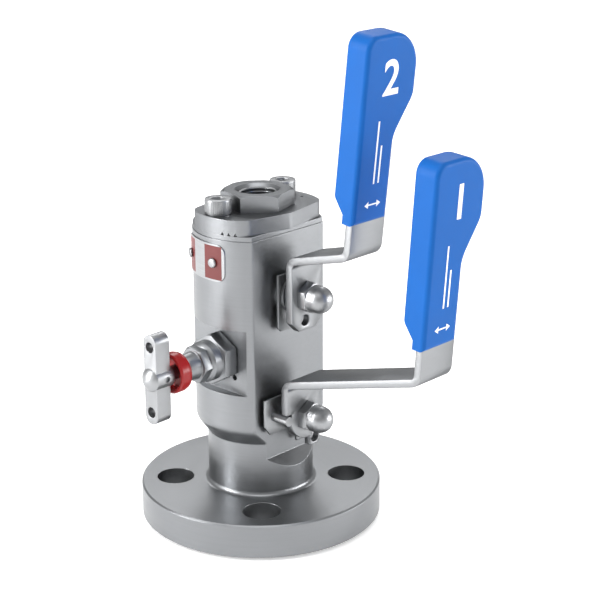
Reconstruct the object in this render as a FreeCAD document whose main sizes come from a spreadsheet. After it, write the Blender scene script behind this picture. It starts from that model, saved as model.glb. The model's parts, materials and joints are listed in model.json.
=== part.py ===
import FreeCAD, Part
import math
import os
import Sketcher

# Instrument valve manifold: a flanged, double block and bleed valve body with two
# lever-operated ball valves on its flat and a needle bleed valve in a pocket.
# Millimetres. The origin is the centre of the raised face that the flange rests on,
# +Z runs up the flow bore, +X out of the flat with the two ball valves, and the bleed
# valve points along -Y. Heights are measured above the underside of the flange rim.

SIZES = [
    ("raised_face_height", 1.6, "raised sealing face under the flange"),
    ("raised_face_radius", 25.4, "raised sealing face"),
    ("flange_radius", 62.0, "flange rim"),
    ("flange_thickness", 17.5, "flange rim"),
    ("bolt_circle_radius", 44.45, "flange bolts"),
    ("bolt_hole_radius", 9.6, "flange bolts"),
    ("neck_radius", 27.1, "neck between the flange and the body"),
    ("rim_chamfer", 0.8, "edges of the flange rim"),
    ("neck_fillet", 2.2, "fillet at the foot of the neck"),
    ("neck_top_fillet", 1.2, "fillet where the neck meets the taper"),
    ("taper_bottom", 46.0, "height where the body starts to taper out of the neck"),
    ("taper_rise", 7.6, "height of the taper"),
    ("taper_round", 7.0, "round at the top of the taper"),
    ("body_radius", 32.8, "round body"),
    ("body_height", 153.0, "top of the body"),
    ("flat_distance", 21.0, "flat for the ball valves, from the bore axis"),
    ("flat_bottom", 37.6, "lower end of the flat"),
    ("flat_runout", 12.0, "sloping end of the flat"),
    ("flat_edge_round", 1.6, "upright edges of the flat"),
    ("cutter_reach", 80.0, "how far a cut runs past the part"),
    ("pocket_distance", 27.3, "pocket floor for the bleed valve, from the bore axis"),
    ("pocket_below", 17.4, "pocket, below the bleed axis"),
    ("pocket_above", 16.5, "pocket, above the bleed axis"),
    ("inlet_radius", 7.0, "bore through the flange"),
    ("inlet_depth", 30.0, "bore through the flange"),
    ("flow_radius", 5.0, "flow bore"),
    ("cavity_radius", 12.0, "bore that holds the balls and seats"),
    ("primary_height", 60.0, "lower stem axis"),
    ("secondary_height", 122.8, "upper stem axis"),
    ("bleed_height", 91.0, "bleed valve axis"),
    ("bleed_offset", 0.0, "bleed valve axis, along X"),
    ("ball_radius", 9.5, "ball"),
    ("ball_clearance", 0.15, "between a ball and its seats"),
    ("seat_inner_face", 5.4, "inner face of a seat, from the ball centre"),
    ("seat_outer_face", 13.0, "outer face of a seat, from the ball centre"),
    ("seat_gap", 0.05, "between a seat and the cavity wall"),
    ("slot_depth", 2.6, "driving slot in the ball"),
    ("tang_thickness", 4.0, "driving tang of the stem"),
    ("tang_width", 8.0, "driving tang of the stem"),
    ("stem_radius", 4.9, "stem"),
    ("running_gap", 0.05, "radial clearance of turning pieces"),
    ("stem_port_depth", 15.0, "where the stem port widens, from the bore axis"),
    ("stem_port_radius", 8.0, "wide part of the stem port"),
    ("washer_thickness", 1.0, "thrust washer"),
    ("shoulder_thickness", 1.5, "shoulder of the stem"),
    ("stack_gap", 0.1, "axial gap beside the stem shoulder"),
    ("gland_flange_radius", 10.0, "gland flange on the flat"),
    ("gland_flange_thickness", 2.0, "gland flange on the flat"),
    ("stop_plate_thickness", 1.2, "stop plate"),
    ("spring_radius", 9.6, "disc springs under the gland nut"),
    ("spring_thickness", 0.7, "disc springs under the gland nut"),
    ("spring_rise", 0.35, "dish of a disc spring"),
    ("gland_nut_flats", 17.0, "gland nut across flats"),
    ("gland_nut_thickness", 2.3, "gland nut"),
    ("lever_gap", 0.9, "between the gland nut and the lever"),
    ("lever_thickness", 4.0, "lever"),
    ("drive_flats", 7.0, "double-D of the stem in the lever"),
    ("thread_radius", 3.9, "threaded end of the stem"),
    ("thread_length", 9.0, "threaded end of the stem"),
    ("cap_nut_flats", 14.0, "cap nut across flats"),
    ("cap_nut_hex_height", 4.9, "hexagon of the cap nut"),
    ("cap_nut_radius", 6.8, "dome of the cap nut"),
    ("cap_nut_neck", 3.4, "straight part below the dome"),
    ("cap_nut_wall", 0.1, "gap between the thread and the cap nut"),
    ("arm_start", 13.0, "height of the arm top above the stem axis, at the bore axis"),
    ("arm_rise", 15.0, "slope of the arm, degrees"),
    ("bend_radius", 3.0, "inside radius of the lever bends"),
    ("tail_length", 17.0, "lever below the stem axis"),
    ("lug_corner", 2.0, "clipped corner of the lower lever's lug"),
    ("lever_step", 4.0, "height above the stem axis where the lower lever gets wider"),
    ("tail_half_width", 6.0, "lever tail at its end"),
    ("lock_hole_radius", 2.8, "padlock holes"),
    ("primary_lock_side", 5.3, "lower padlock hole, from the stem axis along Y"),
    ("primary_lock_drop", 13.0, "lower padlock hole below the stem axis"),
    ("secondary_lock_side", -1.5, "upper padlock hole, from the stem axis along Y"),
    ("secondary_lock_drop", 12.0, "upper padlock hole below the stem axis"),
    ("primary_reach", 115.2, "outer bend of the lower lever, from the bore axis"),
    ("primary_lean", 4.5, "outward lean of the lower grip, degrees"),
    ("primary_left", 15.0, "lower lever at the stem, towards -Y"),
    ("primary_right", 9.0, "lower lever at the stem, towards +Y"),
    ("secondary_reach", 71.5, "outer bend of the upper lever, from the bore axis"),
    ("secondary_lean", 6.4, "outward lean of the upper grip, degrees"),
    ("secondary_half_width", 11.0, "upper lever"),
    ("tang_left", 12.5, "lever where it enters the grip, towards -Y"),
    ("tang_right", 11.0, "lever where it enters the grip, towards +Y"),
    ("tang_depth", 60.0, "length of the lever inside the grip"),
    ("tang_play", 0.1, "around the lever inside the grip"),
    ("grip_start", 17.8, "from the outer bend to the grip"),
    ("grip_length", 89.0, "grip"),
    ("grip_depth", 13.5, "grip, front to back"),
    ("grip_wall", 1.3, "grip in front of the lever"),
    ("grip_foot_depth", 6.6, "thin foot of the grip, front to back"),
    ("grip_foot_height", 4.5, "thin foot of the grip"),
    ("grip_slope_height", 8.7, "slope between the foot and the full grip"),
    ("grip_left", 13.8, "grip, towards -Y"),
    ("grip_right", 10.3, "narrow part of the grip, towards +Y"),
    ("grip_bulge", 11.8, "how far the head of the grip stands out"),
    ("grip_waist_height", 40.0, "where the head of the grip starts"),
    ("grip_bulge_rise", 18.0, "height over which the head widens"),
    ("grip_waist_round", 16.0, "round of the waist"),
    ("grip_head_round", 17.5, "round of the head"),
    ("grip_shoulder_round", 10.0, "round below the head"),
    ("grip_corner_round", 7.0, "round of the straight side's top"),
    ("grip_edge_round", 2.2, "round of the rims"),
    ("stop_pin_radius", 2.4, "stop pin of the lower lever"),
    ("stop_pin_distance", 14.5, "stop pin, from the stem axis"),
    ("stop_pin_front", 1.2, "stop pin in front of the lever"),
    ("stop_pin_height", 1.0, "stop pin above the stem axis"),
    ("notch_radius", 11.8, "inside of the quarter ring cut out of the lower lever for the pin"),
    ("notch_side", 1.8, "end of that cut at the lever's lug"),
    ("primary_plate_left", 21.0, "lower stop plate, towards -Y"),
    ("primary_plate_right", 12.0, "lower stop plate, towards +Y"),
    ("secondary_plate_half", 11.0, "upper stop plate"),
    ("plate_top", 11.0, "stop plates above the stem axis"),
    ("primary_plate_step", 8.1, "lower stop plate below the stem axis, left of the lug"),
    ("primary_plate_bottom", 17.0, "lower stop plate below the stem axis"),
    ("secondary_plate_bottom", 18.2, "upper stop plate below the stem axis"),
    ("primary_plate_bevel", 3.6, "bevelled corner of the lower stop plate"),
    ("primary_plate_slant", 2.0, "slant beside the lug of the lower stop plate"),
    ("primary_plate_corner", 3.0, "lower right corner of the lower stop plate"),
    ("secondary_plate_bevel", 2.0, "bevelled corner of the upper stop plate"),
    ("spacer_ring_step", 0.4, "ring inside the body's edge"),
    ("spacer_ring_thickness", 2.5, "ring between the body and the retaining plate"),
    ("spacer_ring_inset", 0.5, "ring behind the flat"),
    ("plate_step", 0.4, "retaining plate inside the body's edge"),
    ("plate_thickness", 7.8, "retaining plate"),
    ("plate_half_width", 23.2, "retaining plate across its two blunt corners"),
    ("plate_facet_angle", 11.0, "facets of the retaining plate, degrees"),
    ("plate_corner_round", 8.0, "blunt corners of the retaining plate"),
    ("plate_side_round", 9.0, "where the facets meet the round sides"),
    ("plate_hole_radius", 1.0, "two small holes in the retaining plate"),
    ("plate_hole_depth", 3.0, "two small holes in the retaining plate"),
    ("plate_hole_side", 5.2, "two small holes in the retaining plate, along X"),
    ("plate_hole_distance", 26.5, "two small holes in the retaining plate, from the bore axis"),
    ("plate_notch_radius", 1.3, "three small marks at the foot of the retaining plate"),
    ("plate_notch_depth", 1.2, "three small marks at the foot of the retaining plate"),
    ("plate_notch_angle", 19.0, "middle mark, degrees from -Y"),
    ("plate_notch_spread", 6.2, "between the marks, degrees"),
    ("plate_screw_gap", 0.15, "between a screw head and the outlet hexagon"),
    ("plate_screw_side", -3.0, "retaining screw towards -Y, along X"),
    ("plate_screw_back_side", -6.0, "retaining screw towards +Y, along X"),
    ("plate_screw_radius", 3.9, "retaining screws"),
    ("plate_screw_head_radius", 6.5, "retaining screws"),
    ("plate_screw_head_height", 7.5, "retaining screws"),
    ("plate_screw_depth", 10.0, "retaining screws in the body"),
    ("screw_hole_gap", 0.3, "around the retaining screws"),
    ("socket_flats", 6.0, "sockets of the retaining screws"),
    ("socket_depth", 4.0, "sockets of the retaining screws"),
    ("outlet_flats", 32.0, "outlet connector across flats"),
    ("outlet_hex_height", 8.3, "outlet connector"),
    ("outlet_turn", 48.0, "outlet connector about its axis, degrees"),
    ("outlet_bevel_step", 0.5, "round of the outlet connector's top, outside its flats"),
    ("outlet_port_radius", 9.2, "tapped outlet"),
    ("outlet_port_depth", 19.0, "tapped outlet"),
    ("outlet_chamfer", 2.0, "mouth of the tapped outlet"),
    ("seal_groove_height", 5.2, "seal groove above the upper seat"),
    ("seal_groove_width", 3.0, "seal groove"),
    ("seal_groove_radius", 9.5, "seal groove"),
    ("seal_radius", 1.2, "outlet seal, section"),
    ("name_plate_thickness", 0.6, "name plate"),
    ("name_plate_drop", 2.5, "top of the name plate below the top of the body"),
    ("name_plate_height", 18.8, "name plate"),
    ("name_plate_width", 33.6, "name plate, straight across"),
    ("name_plate_angle", -15.0, "name plate around the body, degrees from -Y"),
    ("name_plate_round", 4.5, "corners of the name plate"),
    ("rivet_spread", 18.4, "rivets, degrees either side of the name plate's middle"),
    ("rivet_radius", 2.4, "rivet heads"),
    ("rivet_head_height", 1.4, "rivet heads"),
    ("rivet_depth", 2.4, "rivets in the body"),
    ("rivet_shank_radius", 0.9, "rivets in the body"),
    ("bleed_seat_distance", 14.0, "bleed seat, from the bore axis"),
    ("bleed_seat_radius", 2.2, "bleed seat"),
    ("bleed_chamber_radius", 6.0, "bleed chamber"),
    ("bleed_chamber_length", 7.0, "bleed chamber"),
    ("bonnet_shank_radius", 9.0, "bleed bonnet in the body"),
    ("bonnet_collar_radius", 11.0, "bleed bonnet, collar behind its hexagon"),
    ("bonnet_collar_length", 0.6, "bleed bonnet, collar behind its hexagon"),
    ("bonnet_flats", 23.0, "bleed bonnet across flats"),
    ("bonnet_turn", 30.0, "bleed bonnet about its axis, degrees"),
    ("bonnet_hex_length", 7.4, "bleed bonnet"),
    ("bonnet_barrel_radius", 10.2, "bleed bonnet"),
    ("bonnet_barrel_length", 4.8, "bleed bonnet"),
    ("bonnet_nose_length", 1.6, "conical end of the bleed bonnet"),
    ("spindle_thread_radius", 4.0, "bleed spindle"),
    ("spindle_thread_length", 6.5, "bleed spindle"),
    ("spindle_radius", 3.5, "bleed spindle"),
    ("spindle_inner_end", 24.0, "bleed spindle, from the bore axis"),
    ("packing_radius", 6.0, "bleed packing"),
    ("packing_start", 34.5, "bleed packing, from the bore axis"),
    ("packing_length", 5.0, "bleed packing"),
    ("packing_nut_flats", 16.5, "bleed packing nut across flats"),
    ("packing_nut_turn", -3.0, "bleed packing nut about its axis, degrees"),
    ("packing_nut_hex_length", 4.8, "bleed packing nut"),
    ("packing_nut_collar_radius", 7.1, "bleed packing nut"),
    ("packing_nut_collar_length", 6.7, "bleed packing nut"),
    ("needle_radius", 3.3, "bleed needle"),
    ("needle_tip_radius", 1.1, "bleed needle"),
    ("needle_tip_reach", 1.5, "bleed needle beyond its seat"),
    ("needle_tip_length", 3.5, "bleed needle"),
    ("needle_gap", 0.1, "between the needle and the spindle"),
    ("dust_cap_start", 53.6, "dust cap, from the bore axis"),
    ("dust_cap_radius", 10.1, "dust cap"),
    ("dust_cap_length", 8.9, "dust cap"),
    ("dust_cap_wall", 1.6, "rim of the dust cap"),
    ("dust_cap_dish", 4.0, "recess of the dust cap"),
    ("tee_start", 63.8, "hub of the tee handle, from the bore axis"),
    ("tee_hub_radius", 5.8, "hub of the tee handle"),
    ("tee_hub_length", 10.7, "hub of the tee handle"),
    ("tee_dome_height", 2.6, "dome of the tee handle"),
    ("tee_bar_start", 1.7, "tee bar, from the back of its hub"),
    ("tee_bar_depth", 8.8, "tee bar"),
    ("tee_bar_width", 8.6, "tee bar"),
    ("tee_bar_length", 45.4, "tee bar"),
    ("tee_hole_radius", 2.7, "holes of the tee bar"),
    ("tee_hole_distance", 16.6, "holes of the tee bar, from the spindle"),
    ("set_screw_recess", 1.1, "set screw below the surface of the hub"),
    ("set_screw_radius", 1.4, "set screw of the tee handle"),
    ("set_screw_distance", 4.4, "set screw, from the back of the hub"),
    ("lock_pin_radius", 1.5, "pin that locks the bleed bonnet"),
    ("lock_pin_x", 9.5, "pin that locks the bleed bonnet, from its axis"),
    ("lock_pin_drop", 9.3, "pin that locks the bleed bonnet, below its axis"),
    ("lock_pin_depth", 6.0, "hole of the pin that locks the bleed bonnet"),
    ("lock_pin_recess", 3.0, "pin that locks the bleed bonnet, below the pocket floor"),
    ("vent_port_radius", 5.6, "tapped vent of the bleed valve"),
    ("vent_bore_radius", 2.5, "vent of the bleed valve"),
    ("vent_port_start", 14.0, "tapped vent, from the bore axis"),
    ("vent_distance", 17.5, "vent axis, from the bore axis"),
]

doc = FreeCAD.newDocument("valve_manifold")
sheet = doc.addObject("Spreadsheet::Sheet", "Sizes")


class Size:
    """A length or angle: its value, and the text that binds it to the sheet."""

    def __init__(self, value, text):
        self.value = value
        self.text = text

    def __add__(self, other):
        other = sized(other)
        return Size(self.value + other.value, "(%s + %s)" % (self.text, other.text))

    def __sub__(self, other):
        other = sized(other)
        return Size(self.value - other.value, "(%s - %s)" % (self.text, other.text))

    def __mul__(self, other):
        other = sized(other)
        return Size(self.value * other.value, "(%s * %s)" % (self.text, other.text))

    def __truediv__(self, other):
        other = sized(other)
        return Size(self.value / other.value, "(%s / %s)" % (self.text, other.text))

    def __neg__(self):
        return sized(0) - self

    __radd__ = __add__

    def __rsub__(self, other):
        return sized(other) - self

    __rmul__ = __mul__


def sized(number):
    return number if isinstance(number, Size) else Size(float(number), "%.6f" % number)


def tangent(angle):
    return Size(math.tan(math.radians(angle.value)), "tan(%s)" % angle.text)


def cosine(angle):
    return Size(math.cos(math.radians(angle.value)), "cos(%s)" % angle.text)


def sine(angle):
    return Size(math.sin(math.radians(angle.value)), "sin(%s)" % angle.text)


class Table:
    """The driving sizes, one cell each, read as attributes."""

    def __init__(self):
        for row, (alias, value, note) in enumerate(SIZES, start=1):
            sheet.set("A%d" % row, str(value))
            sheet.setAlias("A%d" % row, alias)
            sheet.set("B%d" % row, note)
            setattr(self, alias, Size(value, "Sizes.%s" % alias))


s = Table()
doc.recompute()

ZERO = sized(0)
FAR = s.cutter_reach
ROOT_THREE = math.sqrt(3)
FACING = {
    "z": FreeCAD.Rotation(),
    "x": FreeCAD.Rotation(FreeCAD.Vector(0, 1, 0), 90),
    "-x": FreeCAD.Rotation(FreeCAD.Vector(0, 1, 0), -90),
    "-y": FreeCAD.Rotation(FreeCAD.Vector(1, 0, 0), 90),
}
pieces = []


def bind(thing, name, size):
    size = sized(size)
    setattr(thing, name, size.value)
    thing.setExpression(name, size.text)


def place(thing, at=(ZERO, ZERO, ZERO), facing="z"):
    at = [sized(part) for part in at]
    thing.Placement = FreeCAD.Placement(FreeCAD.Vector(*[part.value for part in at]), FACING[facing])
    for letter, part in zip("xyz", at):
        thing.setExpression("Placement.Base.%s" % letter, part.text)
    return thing


def turn(thing, axis, angle):
    """Turns a placed thing about an axis through its own origin, by a bound angle."""
    thing.Placement = FreeCAD.Placement(thing.Placement.Base, FreeCAD.Rotation(axis, angle.value))
    thing.setExpression("Placement.Rotation.Angle", angle.text)
    return thing


def cylinder(name, radius, height, at=(ZERO, ZERO, ZERO), facing="z"):
    thing = doc.addObject("Part::Cylinder", name)
    bind(thing, "Radius", radius)
    bind(thing, "Height", height)
    return place(thing, at, facing)


def cone(name, first, second, height, at=(ZERO, ZERO, ZERO), facing="z"):
    thing = doc.addObject("Part::Cone", name)
    bind(thing, "Radius1", first)
    bind(thing, "Radius2", second)
    bind(thing, "Height", height)
    return place(thing, at, facing)


def sphere(name, radius, at=(ZERO, ZERO, ZERO)):
    thing = doc.addObject("Part::Sphere", name)
    bind(thing, "Radius", radius)
    return place(thing, at)


def torus(name, major, minor, at=(ZERO, ZERO, ZERO)):
    thing = doc.addObject("Part::Torus", name)
    bind(thing, "Radius1", major)
    bind(thing, "Radius2", minor)
    return place(thing, at)


def box(name, low, high):
    """A box between two opposite corners."""
    thing = doc.addObject("Part::Box", name)
    for side, start, end in zip(("Length", "Width", "Height"), low, high):
        bind(thing, side, sized(end) - sized(start))
    return place(thing, low)


def hexagon(name, flats, height, at=(ZERO, ZERO, ZERO), facing="z"):
    thing = doc.addObject("Part::Prism", name)
    thing.Polygon = 6
    bind(thing, "Circumradius", sized(flats) / ROOT_THREE)
    bind(thing, "Height", height)
    return place(thing, at, facing)


def join(name, things):
    thing = doc.addObject("Part::MultiFuse", name)
    thing.Shapes = things
    return thing


def overlap(name, things):
    thing = doc.addObject("Part::MultiCommon", name)
    thing.Shapes = things
    return thing


def cut(name, base, tools):
    thing = doc.addObject("Part::Cut", name)
    thing.Base = base
    thing.Tool = tools[0] if len(tools) == 1 else join(name + "_tools", tools)
    return thing


def group(name, things):
    thing = doc.addObject("Part::Compound", name)
    thing.Links = things
    return thing


def piece(thing, label):
    thing.Label = label
    pieces.append(thing)
    return thing


def outline(body, plane, points, lift=ZERO):
    """A closed sketch on an origin plane of its body, each corner bound to the sheet."""
    sketch = body.newObject("Sketcher::SketchObject", body.Name + "_outline")
    support = [part for part in body.Origin.OriginFeatures if part.Role == plane][0]
    sketch.AttachmentSupport = [(support, "")]
    sketch.MapMode = "FlatFace"
    sketch.AttachmentOffset = FreeCAD.Placement(FreeCAD.Vector(0, 0, lift.value), FreeCAD.Rotation())
    sketch.setExpression("AttachmentOffset.Base.z", lift.text)
    corners = [(sized(across), sized(up)) for across, up in points]
    count = len(corners)
    for index, (across, up) in enumerate(corners):
        following = corners[(index + 1) % count]
        start = FreeCAD.Vector(across.value, up.value, 0)
        end = FreeCAD.Vector(following[0].value, following[1].value, 0)
        sketch.addGeometry(Part.LineSegment(start, end), False)
    for index in range(count):
        sketch.addConstraint(Sketcher.Constraint("Coincident", index, 2, (index + 1) % count, 1))
    for index, (across, up) in enumerate(corners):
        for kind, part in (("DistanceX", across), ("DistanceY", up)):
            number = sketch.addConstraint(Sketcher.Constraint(kind, -1, 1, index, 1, part.value))
            sketch.setExpression("Constraints[%d]" % number, part.text)
    return sketch


def revolved(name, points):
    """A body of revolution about Z from an outline of (radius, height) corners."""
    body = doc.addObject("PartDesign::Body", name)
    doc.recompute()
    sketch = outline(body, "XZ_Plane", points)
    feature = body.newObject("PartDesign::Revolution", name + "_revolution")
    feature.Profile = (sketch, [""])
    feature.ReferenceAxis = (sketch, ["V_Axis"])
    feature.Angle = 360
    doc.recompute()
    return body


def extruded(name, plane, points, length, lift=ZERO, symmetric=False, rounds=()):
    """A padded outline; rounds lists (corner number, radius) of its upright edges."""
    body = doc.addObject("PartDesign::Body", name)
    doc.recompute()
    sketch = outline(body, plane, points, lift)
    feature = body.newObject("PartDesign::Pad", name + "_pad")
    feature.Profile = (sketch, [""])
    bind(feature, "Length", length)
    if symmetric:
        feature.SideType = "Symmetric"
    doc.recompute()
    letters = {"XY_Plane": "xy", "XZ_Plane": "xz", "YZ_Plane": "yz"}[plane]
    for corner, radius in rounds:
        target = [sized(part).value for part in points[corner]]

        def upright(edge):
            ends = [[getattr(vertex.Point, letter) for letter in letters] for vertex in edge.Vertexes]
            return len(ends) == 2 and all(math.dist(end, target) < 0.001 for end in ends)

        fillet(body, "%s_round_%d" % (name, corner), upright, radius)
    return body


def pocket(body, name, plane, points, length, lift=ZERO):
    """Cuts a closed outline out of a body, the same way to both sides of its plane."""
    sketch = outline(body, plane, points, lift)
    feature = body.newObject("PartDesign::Pocket", name)
    feature.Profile = (sketch, [""])
    feature.Type = "Length"
    bind(feature, "Length", length)
    feature.SideType = "Symmetric"
    doc.recompute()
    return feature


def fillet(body, name, wanted, radius):
    """Rounds the edges of a body's last feature that a test picks."""
    base = body.Tip
    numbers = [number for number, edge in enumerate(base.Shape.Edges, start=1) if wanted(edge)]
    feature = body.newObject("PartDesign::Fillet", name)
    feature.Base = (base, ["Edge%d" % number for number in numbers])
    bind(feature, "Radius", radius)
    doc.recompute()
    return feature


def ring_edge(radius, height):
    """Picks the circle of a body of revolution at a radius and height."""
    def wanted(edge):
        if not isinstance(edge.Curve, Part.Circle):
            return False
        centre = edge.Curve.Center
        level = abs(centre.z - height.value) < 0.001
        return level and abs(edge.Curve.Radius - radius.value) < 0.001 and math.hypot(centre.x, centre.y) < 0.001
    return wanted


def upright_edge(near, tolerance=0.01):
    """Picks the straight upright edges that run through a point of the XY plane."""
    def wanted(edge):
        if not isinstance(edge.Curve, Part.Line) or abs(edge.tangentAt(edge.FirstParameter).z) < 0.999:
            return False
        point = edge.Vertexes[0].Point
        return any(math.dist((point.x, point.y), corner) < tolerance for corner in near)
    return wanted


# Heights above the resting plane.
rim_top = s.raised_face_height + s.flange_thickness
body_top = s.raised_face_height + s.body_height
primary_z = s.raised_face_height + s.primary_height
secondary_z = s.raised_face_height + s.secondary_height
bleed_z = s.raised_face_height + s.bleed_height
ring_top = body_top + s.spacer_ring_thickness
plate_face = ring_top + s.plate_thickness
outlet_face = plate_face + s.outlet_hex_height
outlet_corner = s.outlet_flats / ROOT_THREE
screw_room = s.plate_screw_head_radius + s.plate_screw_gap
plate_screw_distance = outlet_corner * cosine(s.outlet_turn - 30) + screw_room
SCREW_PLACES = ((0, s.plate_screw_side, -plate_screw_distance), (1, s.plate_screw_back_side, plate_screw_distance))

# Distances out of the flat, along X from the bore axis.
washer_outer = s.stem_port_depth + s.washer_thickness
shoulder_inner = washer_outer + s.stack_gap
shoulder_outer = shoulder_inner + s.shoulder_thickness
packing_inner = shoulder_outer + s.stack_gap
gland_outer = s.flat_distance + s.gland_flange_thickness
stop_plate_outer = gland_outer + s.stop_plate_thickness
springs_outer = stop_plate_outer + 2 * (s.spring_thickness + s.spring_rise)
nut_outer = springs_outer + s.gland_nut_thickness
lever_back = nut_outer + s.lever_gap
lever_front = lever_back + s.lever_thickness

# Distances out of the pocket, along -Y from the bore axis.
chamber_outer = s.bleed_seat_distance + s.bleed_chamber_length
bonnet_hex_start = s.pocket_distance + s.bonnet_collar_length
bonnet_barrel_start = bonnet_hex_start + s.bonnet_hex_length
bonnet_end = bonnet_barrel_start + s.bonnet_barrel_length + s.bonnet_nose_length


def add_valve_body():
    neck_top = s.raised_face_height + s.taper_bottom
    shoulder = neck_top + s.taper_rise
    rim_low = s.raised_face_height + s.rim_chamfer
    blank = revolved("body_blank", [
        (0, 0), (s.raised_face_radius, 0), (s.raised_face_radius, s.raised_face_height),
        (s.flange_radius - s.rim_chamfer, s.raised_face_height), (s.flange_radius, rim_low),
        (s.flange_radius, rim_top - s.rim_chamfer), (s.flange_radius - s.rim_chamfer, rim_top),
        (s.neck_radius, rim_top), (s.neck_radius, neck_top),
        (s.body_radius, shoulder), (s.body_radius, body_top), (0, body_top)])
    fillet(blank, "foot_round", ring_edge(s.neck_radius, rim_top), s.neck_fillet)
    fillet(blank, "neck_top_round", ring_edge(s.neck_radius, neck_top), s.neck_top_fillet)
    fillet(blank, "taper_top_round", ring_edge(s.body_radius, shoulder), s.taper_round)
    hole_across = s.bolt_circle_radius / math.sqrt(2)
    holes = [cylinder("bolt_hole_%d" % index, s.bolt_hole_radius, rim_top + 2,
                      (side * hole_across, end * hole_across, sized(-1)))
             for index, (side, end) in enumerate(((1, 1), (-1, 1), (-1, -1), (1, -1)))]
    flat_end = s.raised_face_height + s.flat_bottom
    pocket(blank, "body_flat", "XZ_Plane", [
        (s.flat_distance, flat_end), (s.flat_distance + s.flat_runout, flat_end - s.flat_runout),
        (FAR, flat_end - s.flat_runout), (FAR, body_top + 5), (s.flat_distance, body_top + 5)], 2 * FAR)
    half_flat = math.sqrt(s.body_radius.value ** 2 - s.flat_distance.value ** 2)
    flat_edges = [(s.flat_distance.value, side * half_flat) for side in (-1, 1)]
    fillet(blank, "flat_edges", upright_edge(flat_edges), s.flat_edge_round)
    pocket_floor = bleed_z - s.pocket_below
    side_pocket = box("pocket_cutter", (-FAR, -FAR, pocket_floor),
                      (FAR, -s.pocket_distance, bleed_z + s.pocket_above))
    inlet_end = s.raised_face_height + s.inlet_depth
    cavity_bottom = primary_z - s.seat_outer_face
    tools = [side_pocket,
             cylinder("inlet_bore", s.inlet_radius, inlet_end + 1, (0, 0, -1)),
             cylinder("flow_bore", s.flow_radius, cavity_bottom, (0, 0, 0)),
             cylinder("ball_cavity", s.cavity_radius, body_top - cavity_bottom + 1, (0, 0, cavity_bottom))]
    for name, height in (("primary", primary_z), ("secondary", secondary_z)):
        tools.append(cylinder(name + "_stem_bore", s.stem_radius + s.running_gap, s.stem_port_depth,
                              (0, 0, height), "x"))
        tools.append(cylinder(name + "_stem_port", s.stem_port_radius, FAR, (s.stem_port_depth, 0, height), "x"))
    axis = (s.bleed_offset, ZERO, bleed_z)
    tools.append(cylinder("bleed_bore", s.bleed_seat_radius, s.bleed_seat_distance, axis, "-y"))
    tools.append(cylinder("bleed_chamber", s.bleed_chamber_radius, s.bleed_chamber_length,
                          (s.bleed_offset, -s.bleed_seat_distance, bleed_z), "-y"))
    tools.append(cylinder("bonnet_bore", s.bonnet_shank_radius, FAR,
                          (s.bleed_offset, -chamber_outer, bleed_z), "-y"))
    tools.append(cylinder("lock_pin_bore", s.lock_pin_radius, s.lock_pin_depth,
                          (s.bleed_offset + s.lock_pin_x, s.lock_pin_depth - s.pocket_distance,
                           bleed_z - s.lock_pin_drop), "-y"))
    tools.append(cylinder("vent_bore", s.vent_bore_radius, FAR, (s.bleed_offset, -s.vent_distance, bleed_z), "-x"))
    tools.append(cylinder("vent_port", s.vent_port_radius, FAR, (-s.vent_port_start, -s.vent_distance, bleed_z), "-x"))
    for number, across, along in SCREW_PLACES:
        tools.append(cylinder("body_screw_hole_%d" % number, s.plate_screw_radius, s.plate_screw_depth + 1,
                              (across, along, body_top - s.plate_screw_depth)))
    for side in (-1, 1):
        tools.append(rivet_cylinder("rivet_hole_%d" % (side + 1), side, s.rivet_shank_radius,
                                    s.body_radius - s.rivet_depth, s.rivet_depth + 1))
    piece(cut("valve_body", blank, holes + tools), "valve_body")


def rivet_cylinder(name, side, radius, start, length):
    """A cylinder that points out of the body at a rivet of the name plate."""
    angle = s.name_plate_angle + side * s.rivet_spread
    height = body_top - s.name_plate_drop - s.name_plate_height / 2
    thing = cylinder(name, radius, length, (sine(angle) * start, -(cosine(angle) * start), height), "-y")
    base = thing.Placement.Base
    lay_down = FreeCAD.Rotation(FreeCAD.Vector(1, 0, 0), 90)
    thing.Placement = FreeCAD.Placement(base, FreeCAD.Rotation(FreeCAD.Vector(0, 0, 1), angle.value) * lay_down)
    return thing


def radial(solid, angle, start, height):
    """Turns an upright solid so that it points out of the body at an angle from -Y."""
    place(solid, (sine(angle) * start, -(cosine(angle) * start), height))
    stand = FreeCAD.Rotation(FreeCAD.Vector(0, 0, 1), 90)
    lay_down = FreeCAD.Rotation(FreeCAD.Vector(1, 0, 0), 90)
    about = FreeCAD.Rotation(FreeCAD.Vector(0, 0, 1), angle.value)
    solid.Placement = FreeCAD.Placement(solid.Placement.Base, about * lay_down * stand)
    return solid


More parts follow.
